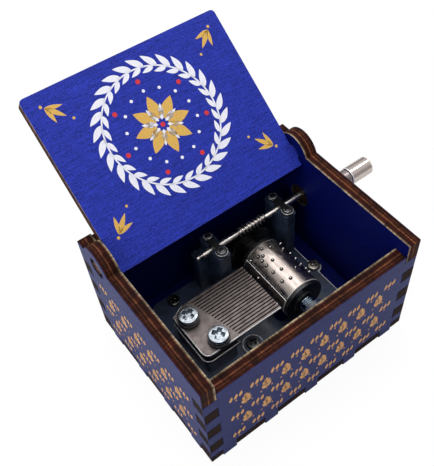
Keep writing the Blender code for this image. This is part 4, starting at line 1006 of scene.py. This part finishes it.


# Drum pins. Hard steel, driven through the sleeve and ground to one height, so that they catch the light as
# bright points. The dark ring at each one's foot is partly a burr and partly painted shade. The tune gives, for
# each angle on the drum, the comb teeth that are plucked, counted from the rear.
TUNE = {
    0: (7, 16), 20: (5, 12), 30: (1, 8, 14), 40: (11,), 50: (4,), 70: (12,), 80: (2,),
    100: (1, 6, 10, 14), 110: (3,), 120: (2, 4, 6, 9, 13), 140: (1,), 160: (6,), 180: (3, 15),
    200: (8,), 210: (0, 12), 230: (5,), 240: (9, 16), 260: (2,), 270: (7, 13), 290: (10,),
    300: (4, 17), 320: (6,), 340: (3, 9),
}
TEETH = 18
PIN_SIDES = 12
PIN_PROFILE = [(0.28, -0.05), (0.25, 0.30), (0.19, 0.45), (0.07, 0.50)]
BURR_PROFILE = [(0.54, -0.05), (0.54, 0.02), (0.34, 0.09)]
tooth_pitch = (comb_high.y - comb_low.y) / TEETH
pin_steel = bright_metal("ground_pin_steel", "#f2eeea", 0.4, EVEN, 0.2, 0.3)
# The ring is near black: partly a burr, partly painted shade round the pin.
burr_and_shade_steel = bright_metal("burr_and_painted_shade", "#1d1b1c", 0.45, EVEN, 0.2, 0.5)
pin_places = []
for degrees, teeth in TUNE.items():
    for tooth in teeth:
        along = comb_high.y - (tooth + 0.5) * tooth_pitch
        foot = Matrix.Translation(around_drum(sleeve_radius, degrees, along))
        pin_places.append(foot @ Matrix.Rotation(math.radians(90 - degrees), 4, "Y"))
for name, profile, steel in (("drum_pin", PIN_PROFILE, pin_steel), ("pin_burr", BURR_PROFILE, burr_and_shade_steel)):
    pins = stamped(name + "s", turned_mesh(name, profile, PIN_SIDES), pin_places, 1.0, steel, "drum")


# Drum core, arbor and wheel. The core and the worm wheel are black acetal mouldings on a steel arbor. Moulded
# acetal is black with a soft shine, and its rims are painted a thin grey line, a painted highlight.
acetal = blackened("black_acetal", "#0b0b0d", 0.3, 0.6)
# Acetal rims: a lighter grey copy of the black, a painted highlight.
acetal_rim_highlight = blackened("acetal_rim_painted_highlight", "#26282d", 0.25, 0.6)
dressed("drum_core", "drum_core_moulding", [acetal, acetal_rim_highlight], 0.18 * MM)
dressed("drum_arbor", "arbor", [zinc_plate], 0.05 * MM)
dressed("worm_wheel", "wheel_moulding", [acetal], 0.04 * MM, 30)


# Pivot screw. A fine-threaded screw in the front lug, whose hollow tip carries the drum's front pivot. Its
# slot faces the front wall. Blue passivated zinc over steel gives it a cold, blue silver glint.
THREAD_PITCH = 0.62 * MM
THREAD_DEPTH = 0.2 * MM
THREAD_SIDES = 40
RINGS_PER_TURN = 8
CUP_RADIUS = 0.65 * MM
CUP_DEPTH = 1.2 * MM
SLOT_TOP = (0.6, 0.6, 6)
SLOT_BOTTOM = (-0.6, 0.5, 6)
screw_low, screw_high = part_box("drum_pivot_screw")
screw_radius = (screw_high.x - screw_low.x) / 2
blued_zinc = bright_metal("blued_zinc_thread", "#8796a4", 0.24, EVEN, 0.4, 0.2)
ring_count = int((screw_high.y - screw_low.y) / THREAD_PITCH * RINGS_PER_TURN)
edit = bmesh.new()
rings = []
for ring in range(ring_count + 1):
    along = screw_low.y + (screw_high.y - screw_low.y) * ring / ring_count
    to_end = min(along - screw_low.y, screw_high.y - along)
    loop = []
    for side in range(THREAD_SIDES):
        turn = side / THREAD_SIDES
        phase = ((along - screw_low.y) / THREAD_PITCH - turn) % 1
        radius = screw_radius - THREAD_DEPTH * abs(2 * phase - 1)
        radius = min(radius, screw_radius - THREAD_DEPTH + to_end)
        loop.append(edit.verts.new(around_drum(radius, 360 * turn, along)))
    rings.append(loop)
for y in (screw_high.y, screw_high.y - CUP_DEPTH):
    turns = [side / THREAD_SIDES for side in range(THREAD_SIDES)]
    rings.append([edit.verts.new(around_drum(CUP_RADIUS, 360 * turn, y)) for turn in turns])
for front, rear in zip(rings, rings[1:]):
    for side in range(THREAD_SIDES):
        after = (side + 1) % THREAD_SIDES
        edit.faces.new((front[side], front[after], rear[after], rear[side]))
edit.faces.new(rings[0])
edit.faces.new(rings[-1])
bmesh.ops.recalc_face_normals(edit, faces=edit.faces)
thread_mesh = bpy.data.meshes.new("pivot_thread")
edit.to_mesh(thread_mesh)
edit.free()
slot = tapered_bars("pivot_slot", SLOT_TOP, SLOT_BOTTOM, (90,))
slot_place = Matrix.Translation((drum_axis.x, screw_low.y, drum_axis.z))
slot.transform(slot_place @ Matrix.Rotation(math.pi / 2, 4, "X"))
settle(eased("pivot_thread", cut_out(thread_mesh, slot), [blued_zinc], 0.02 * MM, 70), "drum_pivot_screw")


# Crank. A drawn steel shaft with a rolled worm, a plated flat arm, and a turned knob that spins on a pin. The
# knob is polished, so long streaks of light and shade run down it. The shaft has one bright line, and the arm
# is a duller grey.
turned_steel = bright_metal("turned_knob_steel", "#cdc0bb", 0.13, (0, 0.6, 0.6), 0.1, 0.15)
drawn_steel = bright_metal("drawn_shaft_steel", "#f0e8e2", 0.3, ALONG_X, 0.2, 0.2)
arm_steel = bright_metal("plated_arm_steel", "#8f8684", 0.34, ALONG_Y, 0.3, 0.2)
dressed("crank_shaft", "shaft_and_worm", [drawn_steel], 0.02 * MM, 60)
# The arm's and the knob's eased edges take the cut-edge finish, a painted highlight.
dressed("crank_arm", "flat_arm", [arm_steel, cut_edge_highlight], 0.25 * MM)
dressed("knob_pin", "pin_of_knob", [arm_steel], 0.1 * MM)
dressed("crank_knob", "turned_knob", [turned_steel, cut_edge_highlight], 0.15 * MM)
